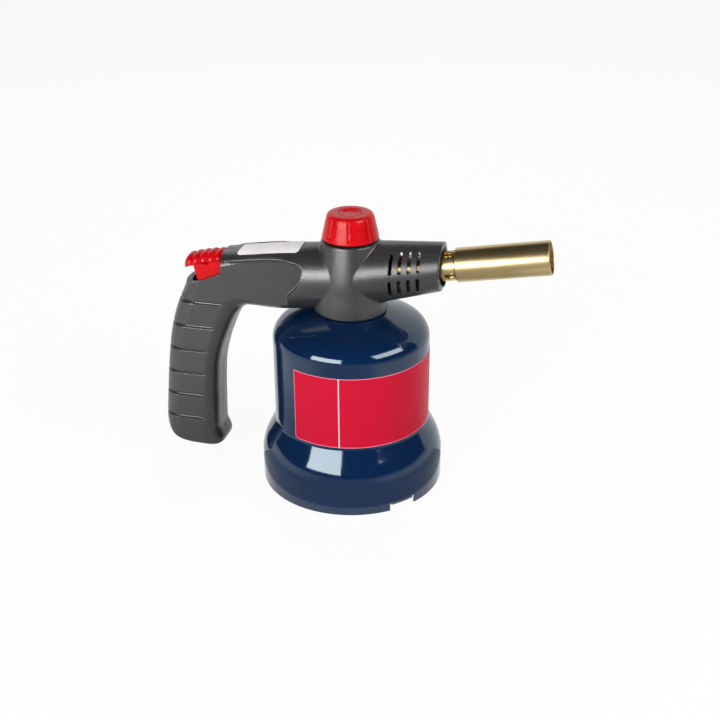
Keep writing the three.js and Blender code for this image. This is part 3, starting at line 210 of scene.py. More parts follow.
def carried_round(radius, angle, height):
    """Points at each radius and height, at each angle about the vertical axis: x = radius cos
    angle, y = radius sin angle."""
    return np.stack([radius * np.cos(angle), radius * np.sin(angle), height + 0 * angle], axis=-1)


def turned(outline, count):
    """Surface of revolution: every (radius, height) of the outline is carried round the axis."""
    outline = np.asarray(outline, float)
    angle = np.arange(count) / count * math.tau
    return carried_round(outline[:, 0, None], angle, outline[:, 1, None])


def about_axis(points, angle):
    """Points turned by an angle about the vertical axis."""
    x, y, z = np.moveaxis(points, -1, 0)
    c, s = math.cos(angle), math.sin(angle)
    return np.stack([x * c - y * s, x * s + y * c, z], axis=-1)


def grid_faces(rows, columns, loop_rows=False, loop_columns=True):
    """Quads between neighbouring points of a grid, closed round in either direction if asked."""
    i, j = np.meshgrid(np.arange(rows if loop_rows else rows - 1),
                       np.arange(columns if loop_columns else columns - 1), indexing="ij")
    ni, nj = (i + 1) % rows, (j + 1) % columns
    return np.stack([i * columns + j, i * columns + nj, ni * columns + nj, ni * columns + j],
                    axis=-1).reshape(-1, 4)


def on_burner_axis(points):
    """Points about the vertical axis laid along the burner: height becomes the way along it."""
    x, y, z = np.moveaxis(np.asarray(points, float), -1, 0)
    c, s = math.cos(BURNER_TILT), math.sin(BURNER_TILT)
    return np.stack([z * c + x * s, y, BURNER_AXIS_HEIGHT + z * s - x * c], axis=-1)


def capped(rings):
    """Rings of a tube, with each end drawn to the middle of its ring."""
    ends = [np.repeat(rings[i].mean(axis=0)[None, None], rings.shape[1], axis=1) for i in (0, -1)]
    return np.concatenate([ends[0], rings, ends[1]])


def slab(outline, low, high):
    """Closed outline in the XZ plane carried along Y from low to high, with its ends closed."""
    x, z = np.asarray(outline, float).T
    return capped(np.stack([np.column_stack([x, np.full(len(x), y), z]) for y in (low, high)]))


def block(low, high):
    """Box between its lowest and its highest corner."""
    return slab([(low[0], low[2]), (high[0], low[2]), (high[0], high[2]), (low[0], high[2])],
                low[1], high[1])


def cross_rod(radius, x, z, low, high, sides=40):
    """Round rod along Y, from low to high."""
    angle = np.arange(sides) / sides * math.tau
    return slab(np.stack([x + radius * np.cos(angle), z + radius * np.sin(angle)], axis=1), low, high)


def pipe(path, radius, sides, closed=False):
    """Round section carried along a path: at each point it stands across the path's direction, on
    a frame made from that direction and the upright."""
    path = np.asarray(path, float)
    if closed:
        along = np.roll(path, -1, 0) - np.roll(path, 1, 0)
    else:
        along = np.gradient(path, axis=0)
    along /= np.linalg.norm(along, axis=1)[:, None]
    side = np.cross(along, [0, 0, 1])
    side /= np.linalg.norm(side, axis=1)[:, None]
    over = np.cross(side, along)
    angle = np.arange(sides) / sides * math.tau
    return (path[:, None] + radius * (side[:, None] * np.cos(angle)[:, None]
                                      + over[:, None] * np.sin(angle)[:, None]))


# ---- meshes and pieces

def linked(name, data):
    """New object with its data, in the scene."""
    made = bpy.data.objects.new(name, data)
    bpy.context.scene.collection.objects.link(made)
    return made


def merged(mesh, reach, mend=True):
    """Merges the points of a mesh that are within reach and, if asked, drops its collapsed faces and
    turns the others outwards."""
    work = bmesh.new()
    work.from_mesh(mesh)
    bmesh.ops.remove_doubles(work, verts=work.verts, dist=reach)
    if mend:
        bmesh.ops.dissolve_degenerate(work, edges=work.edges, dist=reach / 2)
        bmesh.ops.recalc_face_normals(work, faces=work.faces)
    work.to_mesh(mesh)
    work.free()
    return mesh


def shell(name, points, loop_rows=False, loop_columns=True):
    """Mesh object from a grid of points in millimetres about the bell's axis, with its coincident
    points merged and its faces turned outwards."""
    points = np.asarray(points, float)
    rows, columns = points.shape[:2]
    faces = grid_faces(rows, columns, loop_rows, loop_columns)
    mesh = bpy.data.meshes.new(name)
    mesh.vertices.add(rows * columns)
    mesh.vertices.foreach_set("co", (points.reshape(-1, 3) * MM + (BELL_AXIS, 0, 0)).ravel())
    mesh.loops.add(faces.size)
    mesh.loops.foreach_set("vertex_index", faces.ravel())
    mesh.polygons.add(len(faces))
    mesh.polygons.foreach_set("loop_start", np.arange(0, faces.size, 4))
    mesh.update(calc_edges=True)
    return linked(name, merged(mesh, SHELL_REACH))


def lathe(name, corners, count, steps=4, closed=True, burner=False):
    """Piece turned from an outline with rounded corners, upright or about the burner's axis."""
    points = turned(rounded(corners, steps, closed), count)
    return shell(name, on_burner_axis(points) if burner else points, loop_rows=closed)


def applied(piece):
    """Keeps what the piece's modifiers give, as its mesh."""
    graph = bpy.context.evaluated_depsgraph_get()
    mesh = bpy.data.meshes.new_from_object(piece.evaluated_get(graph))
    old = piece.data
    piece.modifiers.clear()
    piece.data = mesh
    bpy.data.meshes.remove(old)
    return piece


def worked(piece, operation, tools):
    """Cuts, joins or trims a piece with each tool in turn and takes the tools away."""
    for tool in tools:
        step = piece.modifiers.new("work", "BOOLEAN")
        step.operation = operation
        step.solver = "MANIFOLD"
        step.object = tool
    applied(piece)
    for tool in tools:
        bpy.data.meshes.remove(tool.data)
    return piece


def cut(piece, *tools):
    """Piece without its tools."""
    return worked(piece, "DIFFERENCE", tools)


def join(piece, *tools):
    """Piece together with its tools."""
    return worked(piece, "UNION", tools)


def trim(piece, *tools):
    """What a piece shares with its tools."""
    return worked(piece, "INTERSECT", tools)


def packed_copy(name):
    """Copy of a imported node, with its loose triangles merged."""
    return linked(name + "_copy", merged(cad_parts[name].data.copy(), PACKED_REACH, mend=False))


def copied(piece):
    """Copy of a piece with a mesh of its own."""
    return linked(piece.name + "_copy", piece.data.copy())


def dressed(mesh, material):
    """Gives a mesh one material."""
    mesh.materials.clear()
    mesh.materials.append(material)


def finished(piece, body, material, nodes=(), sharp=35):
    """Smooth shading with edges sharper than an angle kept, a material, and a place on a body."""
    piece.data.shade_smooth()
    piece.data.set_sharp_from_angle(angle=math.radians(sharp))
    dressed(piece.data, material)
    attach(piece, body)
    if nodes:
        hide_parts(*nodes)
    return piece


# ---- materials

def feed(tree, socket, value):
    """Links another node's output to a socket, or sets the socket to a value."""
    if isinstance(value, bpy.types.NodeSocket):
        tree.links.new(value, socket)
    else:
        socket.default_value = value


def node(tree, kind, inputs=(), **settings):
    """New node with its settings, and its inputs, by name or place, fed with what is given."""
    made = tree.nodes.new(kind)
    for key, value in settings.items():
        setattr(made, key, value)
    for socket, value in dict(inputs).items():
        feed(tree, made.inputs[socket], value)
    return made


def reckon(tree, operation, *values):
    """Result of a math node."""
    return node(tree, "ShaderNodeMath", dict(enumerate(values)), operation=operation).outputs[0]


def mix_shader(tree, factor, first, second):
    """First shader at a factor of 0 and second at 1."""
    return node(tree, "ShaderNodeMixShader", {0: factor, 1: first, 2: second}).outputs[0]


class Nodes:
    """A material's nodes: one principled shader, and short ways to what drives its inputs."""

    def __init__(self, name, colour, roughness, metallic=0.0):
        self.material = bpy.data.materials.get(name) or bpy.data.materials.new(name)
        self.material.use_nodes = True
        self.tree = self.material.node_tree
        self.tree.nodes.clear()
        self.shader = node(self.tree, "ShaderNodeBsdfPrincipled", {
            "Base Color": (*colour, 1), "Roughness": roughness, "Metallic": metallic})
        node(self.tree, "ShaderNodeOutputMaterial", {"Surface": self.shader.outputs["BSDF"]})
        self.coords = node(self.tree, "ShaderNodeTexCoord").outputs
        self.normal = None

    def add(self, kind, inputs, **settings):
        """First output of a new node."""
        return node(self.tree, kind, inputs, **settings).outputs[0]

    def put(self, socket, value):
        """Feeds an input of the shader."""
        feed(self.tree, self.shader.inputs[socket], value)

    def noise(self, scale, detail, stretch=None, rough=0.5):
        """Noise through the piece, finer along an axis by its share of the stretch."""
        place = self.coords["Object"]
        if stretch:
            place = self.add("ShaderNodeMapping", {"Vector": place, "Scale": stretch})
        return self.add("ShaderNodeTexNoise", {
            "Vector": place, "Scale": scale, "Detail": detail, "Roughness": rough})

    def grain(self, scale):
        """Pits of a moulded grain: the way to the nearest of many scattered points."""
        return self.add("ShaderNodeTexVoronoi", {"Vector": self.coords["Object"], "Scale": scale})

    def between(self, factor, low, high, start=0.3, end=0.7):
        """Low where the factor is at its start, high where it is at its end, straight between."""
        return self.add("ShaderNodeMapRange", {
            "Value": factor, "From Min": start, "From Max": end, "To Min": low, "To Max": high})

    def mixed(self, factor, first, second):
        """First colour at a factor of 0 and second at 1; inputs 6 and 7 and output 2 of the mix
        node are its colours."""
        colours = [(*value, 1) if isinstance(value, tuple) else value for value in (first, second)]
        return node(self.tree, "ShaderNodeMix", {0: factor, 6: colours[0], 7: colours[1]},
                    data_type="RGBA").outputs[2]

    def bump(self, height, distance, strength):
        """Bumps of a height, over those added before."""
        inputs = {"Distance": distance, "Strength": strength, "Height": height}
        if self.normal:
            inputs["Normal"] = self.normal
        self.normal = self.add("ShaderNodeBump", inputs)
        self.put("Normal", self.normal)


def shades(colour, amount):
    """Darker and lighter shade of a colour, by a share of it."""
    return tuple(c * (1 - amount) for c in colour), tuple(min(1.0, c * (1 + amount)) for c in colour)


def surface(name, colour, metallic, tones, patches, shine, wear, bumps=(), inputs=()):
    """Shader whose colour wanders between two tones and whose roughness between two limits.

    colour: the plain colour, or the name of the property that holds it
    tones: the dark and the light colour, or the share by which they differ from the plain one
    patches, wear: scale and detail of the noise that moves the colour and the roughness
    shine: plain roughness, then its limits; bumps: depth, strength, then their noise
    inputs: what else the shader is given
    """
    if isinstance(colour, str):
        colour = tuple(getattr(bpy.context.scene.torch_finish, colour))
    m = Nodes(name, colour, shine[0], metallic)
    dark, light = tones if isinstance(tones, tuple) else shades(colour, tones)
    m.put("Base Color", m.mixed(m.between(m.noise(*patches), 0, 1), dark, light))
    m.put("Roughness", m.between(m.noise(*wear), *shine[1:]))
    for socket, value in dict(inputs).items():
        m.put(socket, value)
    if bumps:
        m.bump(m.noise(*bumps[2:]), *bumps[:2])
    return m


# What surface() is given for each finish
FINISHES = {
    "gloss_red": (
        "red", 0.0, 0.05, (45, 3), (0.2, 0.2, 0.3), (180, 4), (0.00002, 0.4, 420, 3),
        {"Specular IOR Level": 0.2}),
    "bell_enamel": (
        "enamel", 0.0, 0.1, (30, 3), (0.08, 0.06, 0.1), (240, 4), (0.000008, 0.5, 330, 2),
        {"IOR": 1.6, "Specular Tint": (0.8, 0.95, 1, 1)}),
    "machined_brass": (
        (0.62, 0.44, 0.19), 1.0, ((0.52, 0.35, 0.14), (0.68, 0.5, 0.23)), (80, 4),
        (0.34, 0.26, 0.42), (400, 3), (0.00001, 0.5, 2400, 2, (1, 1, 6))),
    "bright_steel": (
        (0.56, 0.57, 0.58), 1.0, 0.12, (120, 4), (0.22, 0.22, 0.36), (600, 3),
        (0.000008, 0.5, 3000, 2)),
    "zinc_plated": (
        (0.62, 0.63, 0.60), 1.0, 0.12, (120, 4), (0.3, 0.3, 0.46), (600, 3),
        (0.000008, 0.5, 3000, 2)),
    "black_rubber": (
        (0.012, 0.012, 0.012), 0.0, ((0.009, 0.009, 0.009), (0.018, 0.018, 0.018)), (300, 3),
        (0.75, 0.65, 0.85), (500, 3), (0.00003, 0.6, 2500, 3)),
    "glazed_ceramic": (
        (0.82, 0.78, 0.68), 0.0, ((0.74, 0.69, 0.58), (0.86, 0.83, 0.74)), (150, 4),
        (0.35, 0.28, 0.5), (800, 3), (0.00001, 0.5, 1800, 3)),
    "can_paint": (
        (0.55, 0.57, 0.6), 0.35, ((0.5, 0.52, 0.55), (0.6, 0.62, 0.65)), (60, 4),
        (0.3, 0.24, 0.38), (300, 3), (0.00001, 0.5, 900, 2)),
    "igniter_black": (
        (0.02, 0.02, 0.022), 0.0, ((0.016, 0.016, 0.018), (0.028, 0.028, 0.03)), (300, 3),
        (0.45, 0.38, 0.52), (500, 3), (0.00002, 0.5, 2800, 2)),
    "lead_jacket": (
        (0.3, 0.02, 0.02), 0.0, ((0.24, 0.015, 0.015), (0.36, 0.03, 0.03)), (250, 3),
        (0.5, 0.42, 0.6), (500, 3), (0.00002, 0.5, 2000, 2)),
    "sticker_film": (
        (0.82, 0.82, 0.83), 0.0, ((0.87, 0.84, 0.835), (0.94, 0.915, 0.91)), (60, 3),
        (0.35, 0.3, 0.42), (300, 3), (0.00001, 0.5, 500, 2)),
}


def finish(name):
    """Material of a finish in the list above."""
    return surface(name, *FINISHES[name]).material


def moulded_plastic():
    """Dark plastic with a moulded grain and a finer one over it."""
    m = surface("moulded_plastic", "plastic", 0.0, 0.16, (900, 2), (0.34, 0.285, 0.315), (160, 3),
                inputs={"Specular IOR Level": 0.85})
    m.bump(m.grain(1500), 0.0001, 0.6)
    m.bump(m.noise(4200, 2), 0.00004, 0.5)
    return m.material


def turned_rings(m, scale):
    """Marks left by turning: noise that changes only along the burner's axis."""
    along = m.add("ShaderNodeMapping", {
        "Vector": m.coords["Object"], "Rotation": (0, -BURNER_TILT, 0)}, vector_type="TEXTURE")
    way = m.add("ShaderNodeSeparateXYZ", {"Vector": along})
    return m.add("ShaderNodeTexNoise", {"W": way, "Scale": scale, "Detail": 2},
                 noise_dimensions="1D")


def polished_brass():
    """Brass whose roughness follows its turning marks and a little noise, added at 0.7 of it."""
    colour = tuple(bpy.context.scene.torch_finish.brass)
    m = Nodes("polished_brass", colour, 0.24, 1.0)
    dark = tuple(c * s for c, s in zip(colour, (0.9, 0.86, 0.72)))
    light = tuple(min(1.0, c * s) for c, s in zip(colour, (1.04, 1.04, 1.08)))
    m.put("Base Color", m.mixed(m.between(m.noise(38, 4, rough=0.6), 0, 1), dark, light))
    rings = turned_rings(m, 2600)
    marks = reckon(m.tree, "MULTIPLY_ADD", m.noise(210, 4), 0.7, rings)
    m.put("Roughness", m.between(marks, 0.29, 0.35, 0.5, 1.2))
    m.bump(rings, 0.0000006, 0.3)
    m.bump(m.noise(700, 3), 0.000004, 0.3)
    return m.material


def label_film(along, high, line_place):
    """Red film with a paler line round its edge and one upright line across it, both from its UV
    map in metres: a line shows where the way to its middle is less than its width."""
    edge_width, line_width = 0.0004, (0.0003, 0.00045)
    m = surface("label_film", "label", 0.0, 0.025, (26, 2), (0.4, 0.36, 0.46), (300, 3),
                (0.000003, 0.4, 500, 2), {"Specular IOR Level": 0.12})
    field = m.shader.inputs["Base Color"].links[0].from_socket
    place = node(m.tree, "ShaderNodeSeparateXYZ", {"Vector": m.coords["UV"]}).outputs
    nearest = place["X"]
    for way in (reckon(m.tree, "SUBTRACT", along, place["X"]), place["Y"],
                reckon(m.tree, "SUBTRACT", high, place["Y"])):
        nearest = reckon(m.tree, "MINIMUM", nearest, way)
    band = m.between(nearest, 1, 0, edge_width * 0.8, edge_width * 1.2)
    off = reckon(m.tree, "ABSOLUTE", reckon(m.tree, "SUBTRACT", place["X"], line_place))
    line = m.between(off, 1, 0, *line_width)
    bordered = m.mixed(band, field, (0.78, 0.22, 0.30))
    m.put("Base Color", m.mixed(line, bordered, (0.66, 0.46, 0.50)))
    return m.material


# ---- bell

def bell_outline():
    """Straight skirt, flare, straight body, elliptical shoulder and a shallow crown that rises to
    the collar, as (radius, height)."""
    s = shape()
    body, skirt = millimetres(s.body_radius, s.skirt_radius)
    flare = curve_through([
        (skirt, 17), (skirt, 18.6), (skirt - 0.3, 20.7), (skirt - 1.45, 25.3), (skirt - 3.2, 29.8),
        (skirt - 5.4, 34), (body + 0.85, 38.3), (body + 0.2, 39.6), (body + 0.03, 40.5),
        (body, 42)], 46)
    flare[:, 0] = np.minimum(flare[:, 0], skirt)
    turn = np.linspace(0, math.radians(57), 28)
    shoulder_width, shoulder_foot, shoulder_rise = 14, 93.6, 12.2
    crown = body - shoulder_width
    shoulder = np.stack([crown + shoulder_width * np.cos(turn),
                         shoulder_foot + shoulder_rise * np.sin(turn)], axis=1)
    neck = curve_through([
        tuple(shoulder[-1]), (38.5, 105.15), (35.5, 106.35), (31.5, 107.8), (27.5, 109.1),
        (23, 110.5)], 22)[1:]
    rim = rounded([(skirt, 8, 0), (skirt, 0, 0.35), (skirt - 0.45, 0, 0)], 4)[::-1]
    return np.concatenate([rim, flare, [[body, 60], [body, 80]], shoulder, neck])


def tongue_points():
    """Tongue bent in from the skirt: a strip of sheet carried over a share of the circle, whose
    radius falls as it nears the rim."""
    s = shape()
    skirt, wall = millimetres(s.skirt_radius, s.sheet_wall)
    middle = curve_through([
        (skirt - 0.03 - wall / 2, 7.4), (skirt - 0.03 - wall / 2, 5.2), (skirt - 0.8, 4.0),
        (skirt - 1.7, 3.1), (skirt - 3.0, 2.75), (skirt - 4.3, 2.7)], 22)
    outer, inner = inset_outline(middle, -wall / 2), inset_outline(middle, wall / 2)
    section = np.concatenate([outer, inner[::-1]])
    half_width = 7.2
    half = half_width / skirt
    angle = np.linspace(-half, half, 16)[:, None]
    return capped(carried_round(section[:, 0], angle, section[:, 1]))


class TORCH_OT_bell(bpy.types.Operator):
    """Draws the bell of enamelled sheet, with the two tongues bent in from its rim"""
    bl_idname = "torch.bell"
    bl_label = "Bell"

    def execute(self, context):
        s = shape()
        wall, skirt = millimetres(s.sheet_wall, s.skirt_radius)
        outer = np.concatenate([bell_outline(), [[15.4, 111], [15, 110.7]]])
        inner = inset_outline(bell_outline()[RIM_POINTS - 1:], wall)
        inner = np.concatenate([[[outer[0, 0], 0]], [[inner[0, 0], 0.3]], inner, [[15, 110.3]]])
        bell = shell("bell", turned(np.concatenate([outer, inner[::-1]]), 216), loop_rows=True)
        notch = rounded([(-9.2, -2, 0), (8.4, -2, 0), (8.4, 5.6, 0.6), (-7.8, 5.6, 0.2),
                         (-8.0, 6.3, 0.4), (-9.2, 6.3, 0.5)], 4, True)
        notch = slab(notch, skirt - 4, skirt + 3)[..., [1, 0, 2]]
        for turn in TONGUES:
            cut(bell, shell("notch", about_axis(notch, turn)))
            join(bell, shell("tongue", about_axis(tongue_points(), turn)))
        finished(bell, "housing", finish("bell_enamel"), ["bell_housing"], 40)
        return {"FINISHED"}


def bell_radius_at(height):
    """Radius of the bell at a height, read between the points of its outline."""
    outline = bell_outline()[RIM_POINTS:]
    return np.interp(height, outline[:, 1], outline[:, 0])


class TORCH_OT_label(bpy.types.Operator):
    """Lays the bare red label round the bell, with its pale edge line and its upright line"""
    bl_idname = "torch.label"
    bl_label = "Label"

    def execute(self, context):
        s = shape()
        low, high, radius = millimetres(s.label_low, s.label_high, s.body_radius)
        length = (s.label_end - s.label_start) * radius
        corner, across, up, back_lift, front_lift = 0.5, 260, 44, 0.02, 0.14
        along = np.linspace(0, length, across)
        end = np.minimum(np.minimum(along, length - along), corner)
        inset = corner - np.sqrt(corner**2 - (corner - end) ** 2)
        height = low + inset + np.linspace(0, 1, up)[:, None] * (high - low - 2 * inset)
        angle = s.label_start + along / radius + 0 * height
        back, front = (carried_round(bell_radius_at(height) + lift, angle, height)
                       for lift in (back_lift, front_lift))
        points = np.concatenate([front, back[::-1]]).transpose(1, 0, 2)
        middles = [(points[i, :up] + points[i, up:][::-1]) / 2 for i in (0, -1)]
        caps = [np.concatenate([m, m[::-1]])[None] for m in middles]
        label = shell("label", np.concatenate([caps[0], points, caps[1]]))
        co = np.empty(len(label.data.vertices) * 3)
        label.data.vertices.foreach_get("co", co)
        co = co.reshape(-1, 3) - (BELL_AXIS, 0, 0)
        turn = (np.arctan2(co[:, 1], co[:, 0]) - s.label_start + 0.5) % math.tau - 0.5
        uv = np.stack([turn * s.body_radius, co[:, 2] - s.label_low], axis=1)
        corners = np.empty(len(label.data.loops), int)
        label.data.loops.foreach_get("vertex_index", corners)
        layer = label.data.uv_layers.new(name="sheet")
        layer.data.foreach_set("uv", uv[corners].ravel())
        material = label_film(length * MM, (high - low) * MM, s.label_line)
        finished(label, "housing", material, (), 60)
        return {"FINISHED"}


# ---- cartridge, wire and collar

class TORCH_OT_cartridge(bpy.types.Operator):
    """Turns the gas cartridge and the threaded collar, and bends the bow-tie wire"""
    bl_idname = "torch.cartridge"
    bl_label = "Cartridge and wire"

    def execute(self, context):
        can = lathe("cartridge", [
            (0, 15.3, 0), (34, 15.3, 2), (38.5, 9.5, 1.5), (40.5, 8.3, 0.8), (43.6, 8.3, 0.8),
            (44.1, 11.6, 0.8), (45, 12.6, 0.8), (45, 88, 5), (30, 97.2, 8), (15, 100.2, 3),
            (13, 101.2, 0.8), (2, 101.2, 0.2), (2, 100.7, 0), (12.6, 100.7, 0.6), (29.6, 96.8, 7),
            (44.5, 87.6, 4.5), (44.5, 13, 0.6), (43.4, 9, 0.4), (40.7, 8.9, 0.6), (34.4, 15.9, 2),
            (0, 15.9, 0)], 144, 6, closed=False)
        finished(can, "housing", finish("can_paint"), ["gas_cartridge"])
        radius, hook, wide, level, thick = 51.4, 5.4, 6.0, 6.2, 1.4
        knots = []
        for side in (1, -1):
            arm = side * radius * 0.8
            knots += [(0, 0, level + side * 1.7), (arm, wide, level), (side * radius, wide, hook),
                      (side * radius, 0, hook), (side * radius, -wide, hook), (arm, -wide, level)]
        path = about_axis(closed_curve(knots, 24), TONGUES[0])
        wire = shell("wire", pipe(path, thick, 16, True), loop_rows=True)
        finished(wire, "housing", finish("bright_steel"), ["retaining_wire"], 60)
        bore = 11.3
        collar = lathe("collar", [
            (bore, 103.6, 0.3), (14.6, 103.6, 0.5), (14.6, 111.3, 0), (18.6, 111.3, 0.3),
            (18.6, 113.8, 0.4), (bore, 113.8, 0.4)], 120)
        finished(collar, "housing", finish("zinc_plated"), ["threaded_collar"])
        return {"FINISHED"}


# ---- casing

# Handle and arm: front or lower point (x, z), back or upper point (x, z), half thickness, and how
# square the section is towards the front and towards the back
HANDLE_STATIONS = np.array([
    (-88.8, 9.84, -107.6, 9.98, 9.2, 4.2, 2.9),
    (-85.2, 10.5, -115.6, 11.57, 12.4, 4.2, 2.9),
    (-83.5, 12.3, -119.2, 13.97, 13.9, 4.2, 2.9),
    (-83.2, 14.6, -120.9, 17, 14.2, 4.2, 2.9),
    (-84.2, 17.6, -121.8, 21, 14.3, 4.2, 2.9),
    (-85.4, 20.6, -122.1, 24.6, 14.3, 4.2, 2.9),
    (-85.6, 27, -122.0, 29.5, 14.3, 4.2, 2.9),
    (-85.3, 35.4, -121.3, 36.6, 14.3, 4.2, 2.9),
    (-84.6, 53.2, -119.4, 54.5, 14.3, 4.2, 2.9),
    (-82.9, 69.2, -117.3, 71.2, 14.3, 4.2, 2.9),
    (-79.9, 80.5, -115.1, 85.1, 14.3, 4.2, 2.9),
    (-76.1, 90.4, -111.9, 97.8, 14.3, 4.0, 2.9),
    (-72.2, 99.1, -107.6, 109.7, 14.3, 3.8, 2.9),
    (-68.7, 104.4, -103.0, 119.7, 14.3, 3.6, 3.0),
    (-65.8, 107.5, -96.6, 135.7, 14.4, 3.4, 3.3),
    (-62.4, 109.1, -85.6, 139.9, 14.8, 3.2, 3.4),
    (-57.5, 109.3, -72.2, 142.2, 15.6, 3.0, 3.3),
    (-50.1, 108.7, -58.7, 144.1, 16.9, 2.6, 3.2),
    (-41.6, 108.4, -44.0, 146.4, 18.3, 2.3, 2.8),
    (-29.4, 109.2, -29.4, 148.6, 19.2, 2.05, 2.3),
    (-3.7, 111.7, -3.7, 152.0, 19.4, 2.0, 2.05),
])
PANEL_END = [  # x, height along the end of the arm's flat side
    (-35.6, 112), (-35, 120.8), (-33.3, 122.6), (-30, 125.7), (-27.8, 128.7), (-26, 133.2),
    (-25.1, 137.8), (-25.9, 140.2), (-27.8, 141.3), (-32.5, 142.2), (-40, 142.5)]
FLAT_SIDE = 14.0  # half width between the arm's flat sides
CASING_WALL = 2.6
SEAM = 0.15  # half of the gap between the two halves
MOUTH = 55.2  # x of the nose's open end
NOSE_ROOT, NOSE_TIP, NOSE_LENGTH = 20.1, 14.3, 55.3  # radii of the nose's taper, and its length
GROOVES = [  # height, x at which the groove ends on the side
    (30.5, -93.8), (46.5, -92.9), (62.3, -91.2), (78.2, -88.7), (94.4, -83.7), (110.5, -76.8)]
SCREWS = [(-103, 21), (-103, 60), (-52, 120), (20.5, 124.2)]  # x, height


def handle_points(inset=0.0, rows=260, sides=144, first=0):
    """Rounded box section carried along the stations: across its depth the power 2/n of the
    cosine, across its thickness the power 2/n of the sine, n being the section's squareness."""
    s = curve_through(HANDLE_STATIONS[first:], rows)
    front, back = s[:, None, 0:2], s[:, None, 2:4]
    half = s[:, 4, None] - inset
    angle = (np.arange(sides) + 0.5) / sides * math.tau
    c, t = np.cos(angle), np.sin(angle)
    square = np.where(c > 0, s[:, 6, None], s[:, 5, None])
    depth = np.linalg.norm(back - front, axis=-1) / 2
    along = np.sign(c) * np.abs(c) ** (2 / square) * (1 - inset / depth)
    across = np.sign(t) * np.abs(t) ** (2 / square) * half
    place = (front + back) / 2 + (back - front) / 2 * along[..., None]
    ring = np.stack([place[..., 0], across, place[..., 1]], axis=-1)
    return capped(ring)


def column_outline(inset=0.0, low=111.3, high=154.7, edge=0.8):
    """Column over the bell's neck, tapering to a softened top edge, as (radius, height)."""
    side = curve_through(np.subtract([
        (22.1, low), (21.9, 118), (21.3, 125), (20.7, 133), (19.7, 140), (18.5, 147), (17.3, 154),
        (17.2, high)], (inset, 0)), 28)
    corners = np.concatenate([[[0, low]], side, [[0, high]]])
    radius = np.zeros(len(corners))
    radius[1], radius[-2] = 0.6 if edge else 0, edge
    return rounded(np.column_stack([corners, radius]), 5)


def nose_radius(place):
    """Radius of the nose at a way along the burner's axis, falling straight to its tip."""
    return NOSE_ROOT - (NOSE_ROOT - NOSE_TIP) * place / NOSE_LENGTH


def nose_points(inset, start, end):
    """Nose, or its hollow, from start to end along the burner's axis."""
    root, tip = nose_radius(start) - inset, nose_radius(end) - inset
    return on_burner_axis(turned([(0, start), (root, start), (tip, end), (0, end)], 144))


def bead_points(side):
    """Rounded bead along the upper edge of the arm's flat side and round its end: a pipe whose
    radius grows from nothing and fades again."""
    path = curve_through([
        (-79.5, 137.9), (-76, 138.6), (-66, 140.3), (-55.3, 142), (-45, 143.2), (-40.4, 143.4),
        (-36.8, 143.1), (-31.8, 141.9), (-28.3, 139.6), (-26.3, 136.4), (-25.9, 133.4)], 150)
    path = np.column_stack([path[:, 0], np.full(len(path), side * (FLAT_SIDE + 0.15)), path[:, 1]])
    share = np.linspace(0, 1, len(path))
    thickest, grown, fading, thinnest = 0.95, 1 / 6, 0.3, 0.02
    radius = thickest * np.minimum(1, share / grown) * np.clip((1 - share) / fading, thinnest, 1)
    return path[:, None] + (pipe(path, 1.0, 14) - path[:, None]) * radius[:, None, None]


def panel_outline():
    """Outline of the arm's flat side: its rounded end, then far beyond the arm on a slope."""
    far, end, top, slope = -126.0, -40, 142.5, 0.125
    return PANEL_END + [(far, top - (end - far) * slope), (far, 0), (-35.6, 0)]


def opening_outline():
    """Outline of the opening over the handle that the thumb lever stands in."""
    return rounded([
        (-130, 122.4, 0), (-96.3, 122.4, 1.5), (-90.3, 124.6, 3), (-77.4, 130.2, 0.6),
        (-76.8, 131, 0.5), (-76.2, 138, 1.5), (-77.2, 140.3, 1), (-78.8, 143, 0), (-79.6, 156, 0),
        (-130, 156, 0)], 4, True)


def slot_outlines():
    """Slots of the nose: upright, round at both ends, between two angles above its axis."""
    half, corner, count, first, pitch = 1.05, 1.04, 4, 27.2, 5.35
    outlines = []
    for i in range(count):
        x = first + pitch * i
        radius = nose_radius(x / math.cos(BURNER_TILT))
        centre = BURNER_AXIS_HEIGHT + x * math.tan(BURNER_TILT)
        for angles in ((9, 56 if i else 51), (-39, -3)):
            low, high = (centre + radius * math.sin(math.radians(angle)) for angle in angles)
            outlines.append(rounded([(x - half, low, corner), (x + half, low, corner),
                                     (x + half, high, corner), (x - half, high, corner)], 6, True))
    return outlines


def casing_skin():
    """Handle and arm, column and nose joined, with flat sides, softened as a moulding is."""
    skin = shell("casing", handle_points())
    join(skin, shell("column", turned(column_outline(), 144)), shell("nose", nose_points(0, 0, 61)))
    trim(skin, shell("room", block((-140, -40, -10), (MOUTH, 40, 180))))
    for side in (-1, 1):
        cut(skin, shell("flat", slab(panel_outline(), side * FLAT_SIDE, side * 30)))
        join(skin, shell("bead", capped(bead_points(side))))
    cut(skin, *[groove_tool(height, end) for height, end in GROOVES])
    even = skin.modifiers.new("even", "REMESH")
    even.mode, even.voxel_size = "VOXEL", CASING_VOXEL
    soft = skin.modifiers.new("soft", "SMOOTH")
    soft.factor, soft.iterations = 0.5, 2
    return applied(skin)


def casing_inside(inset=CASING_WALL):
    """Hollow of the casing: its handle, column and nose drawn in by an inset."""
    inside = shell("inside", handle_points(inset, 120, 72, 2))
    side = FLAT_SIDE - inset
    trim(inside, shell("room", block((-126, -side, 0), (0, side, 154))))
    join(inside, shell("well", turned(column_outline(inset, 109, 151.4, 0), 96)),
         shell("throat", nose_points(inset, 0, 63)))
    return inside


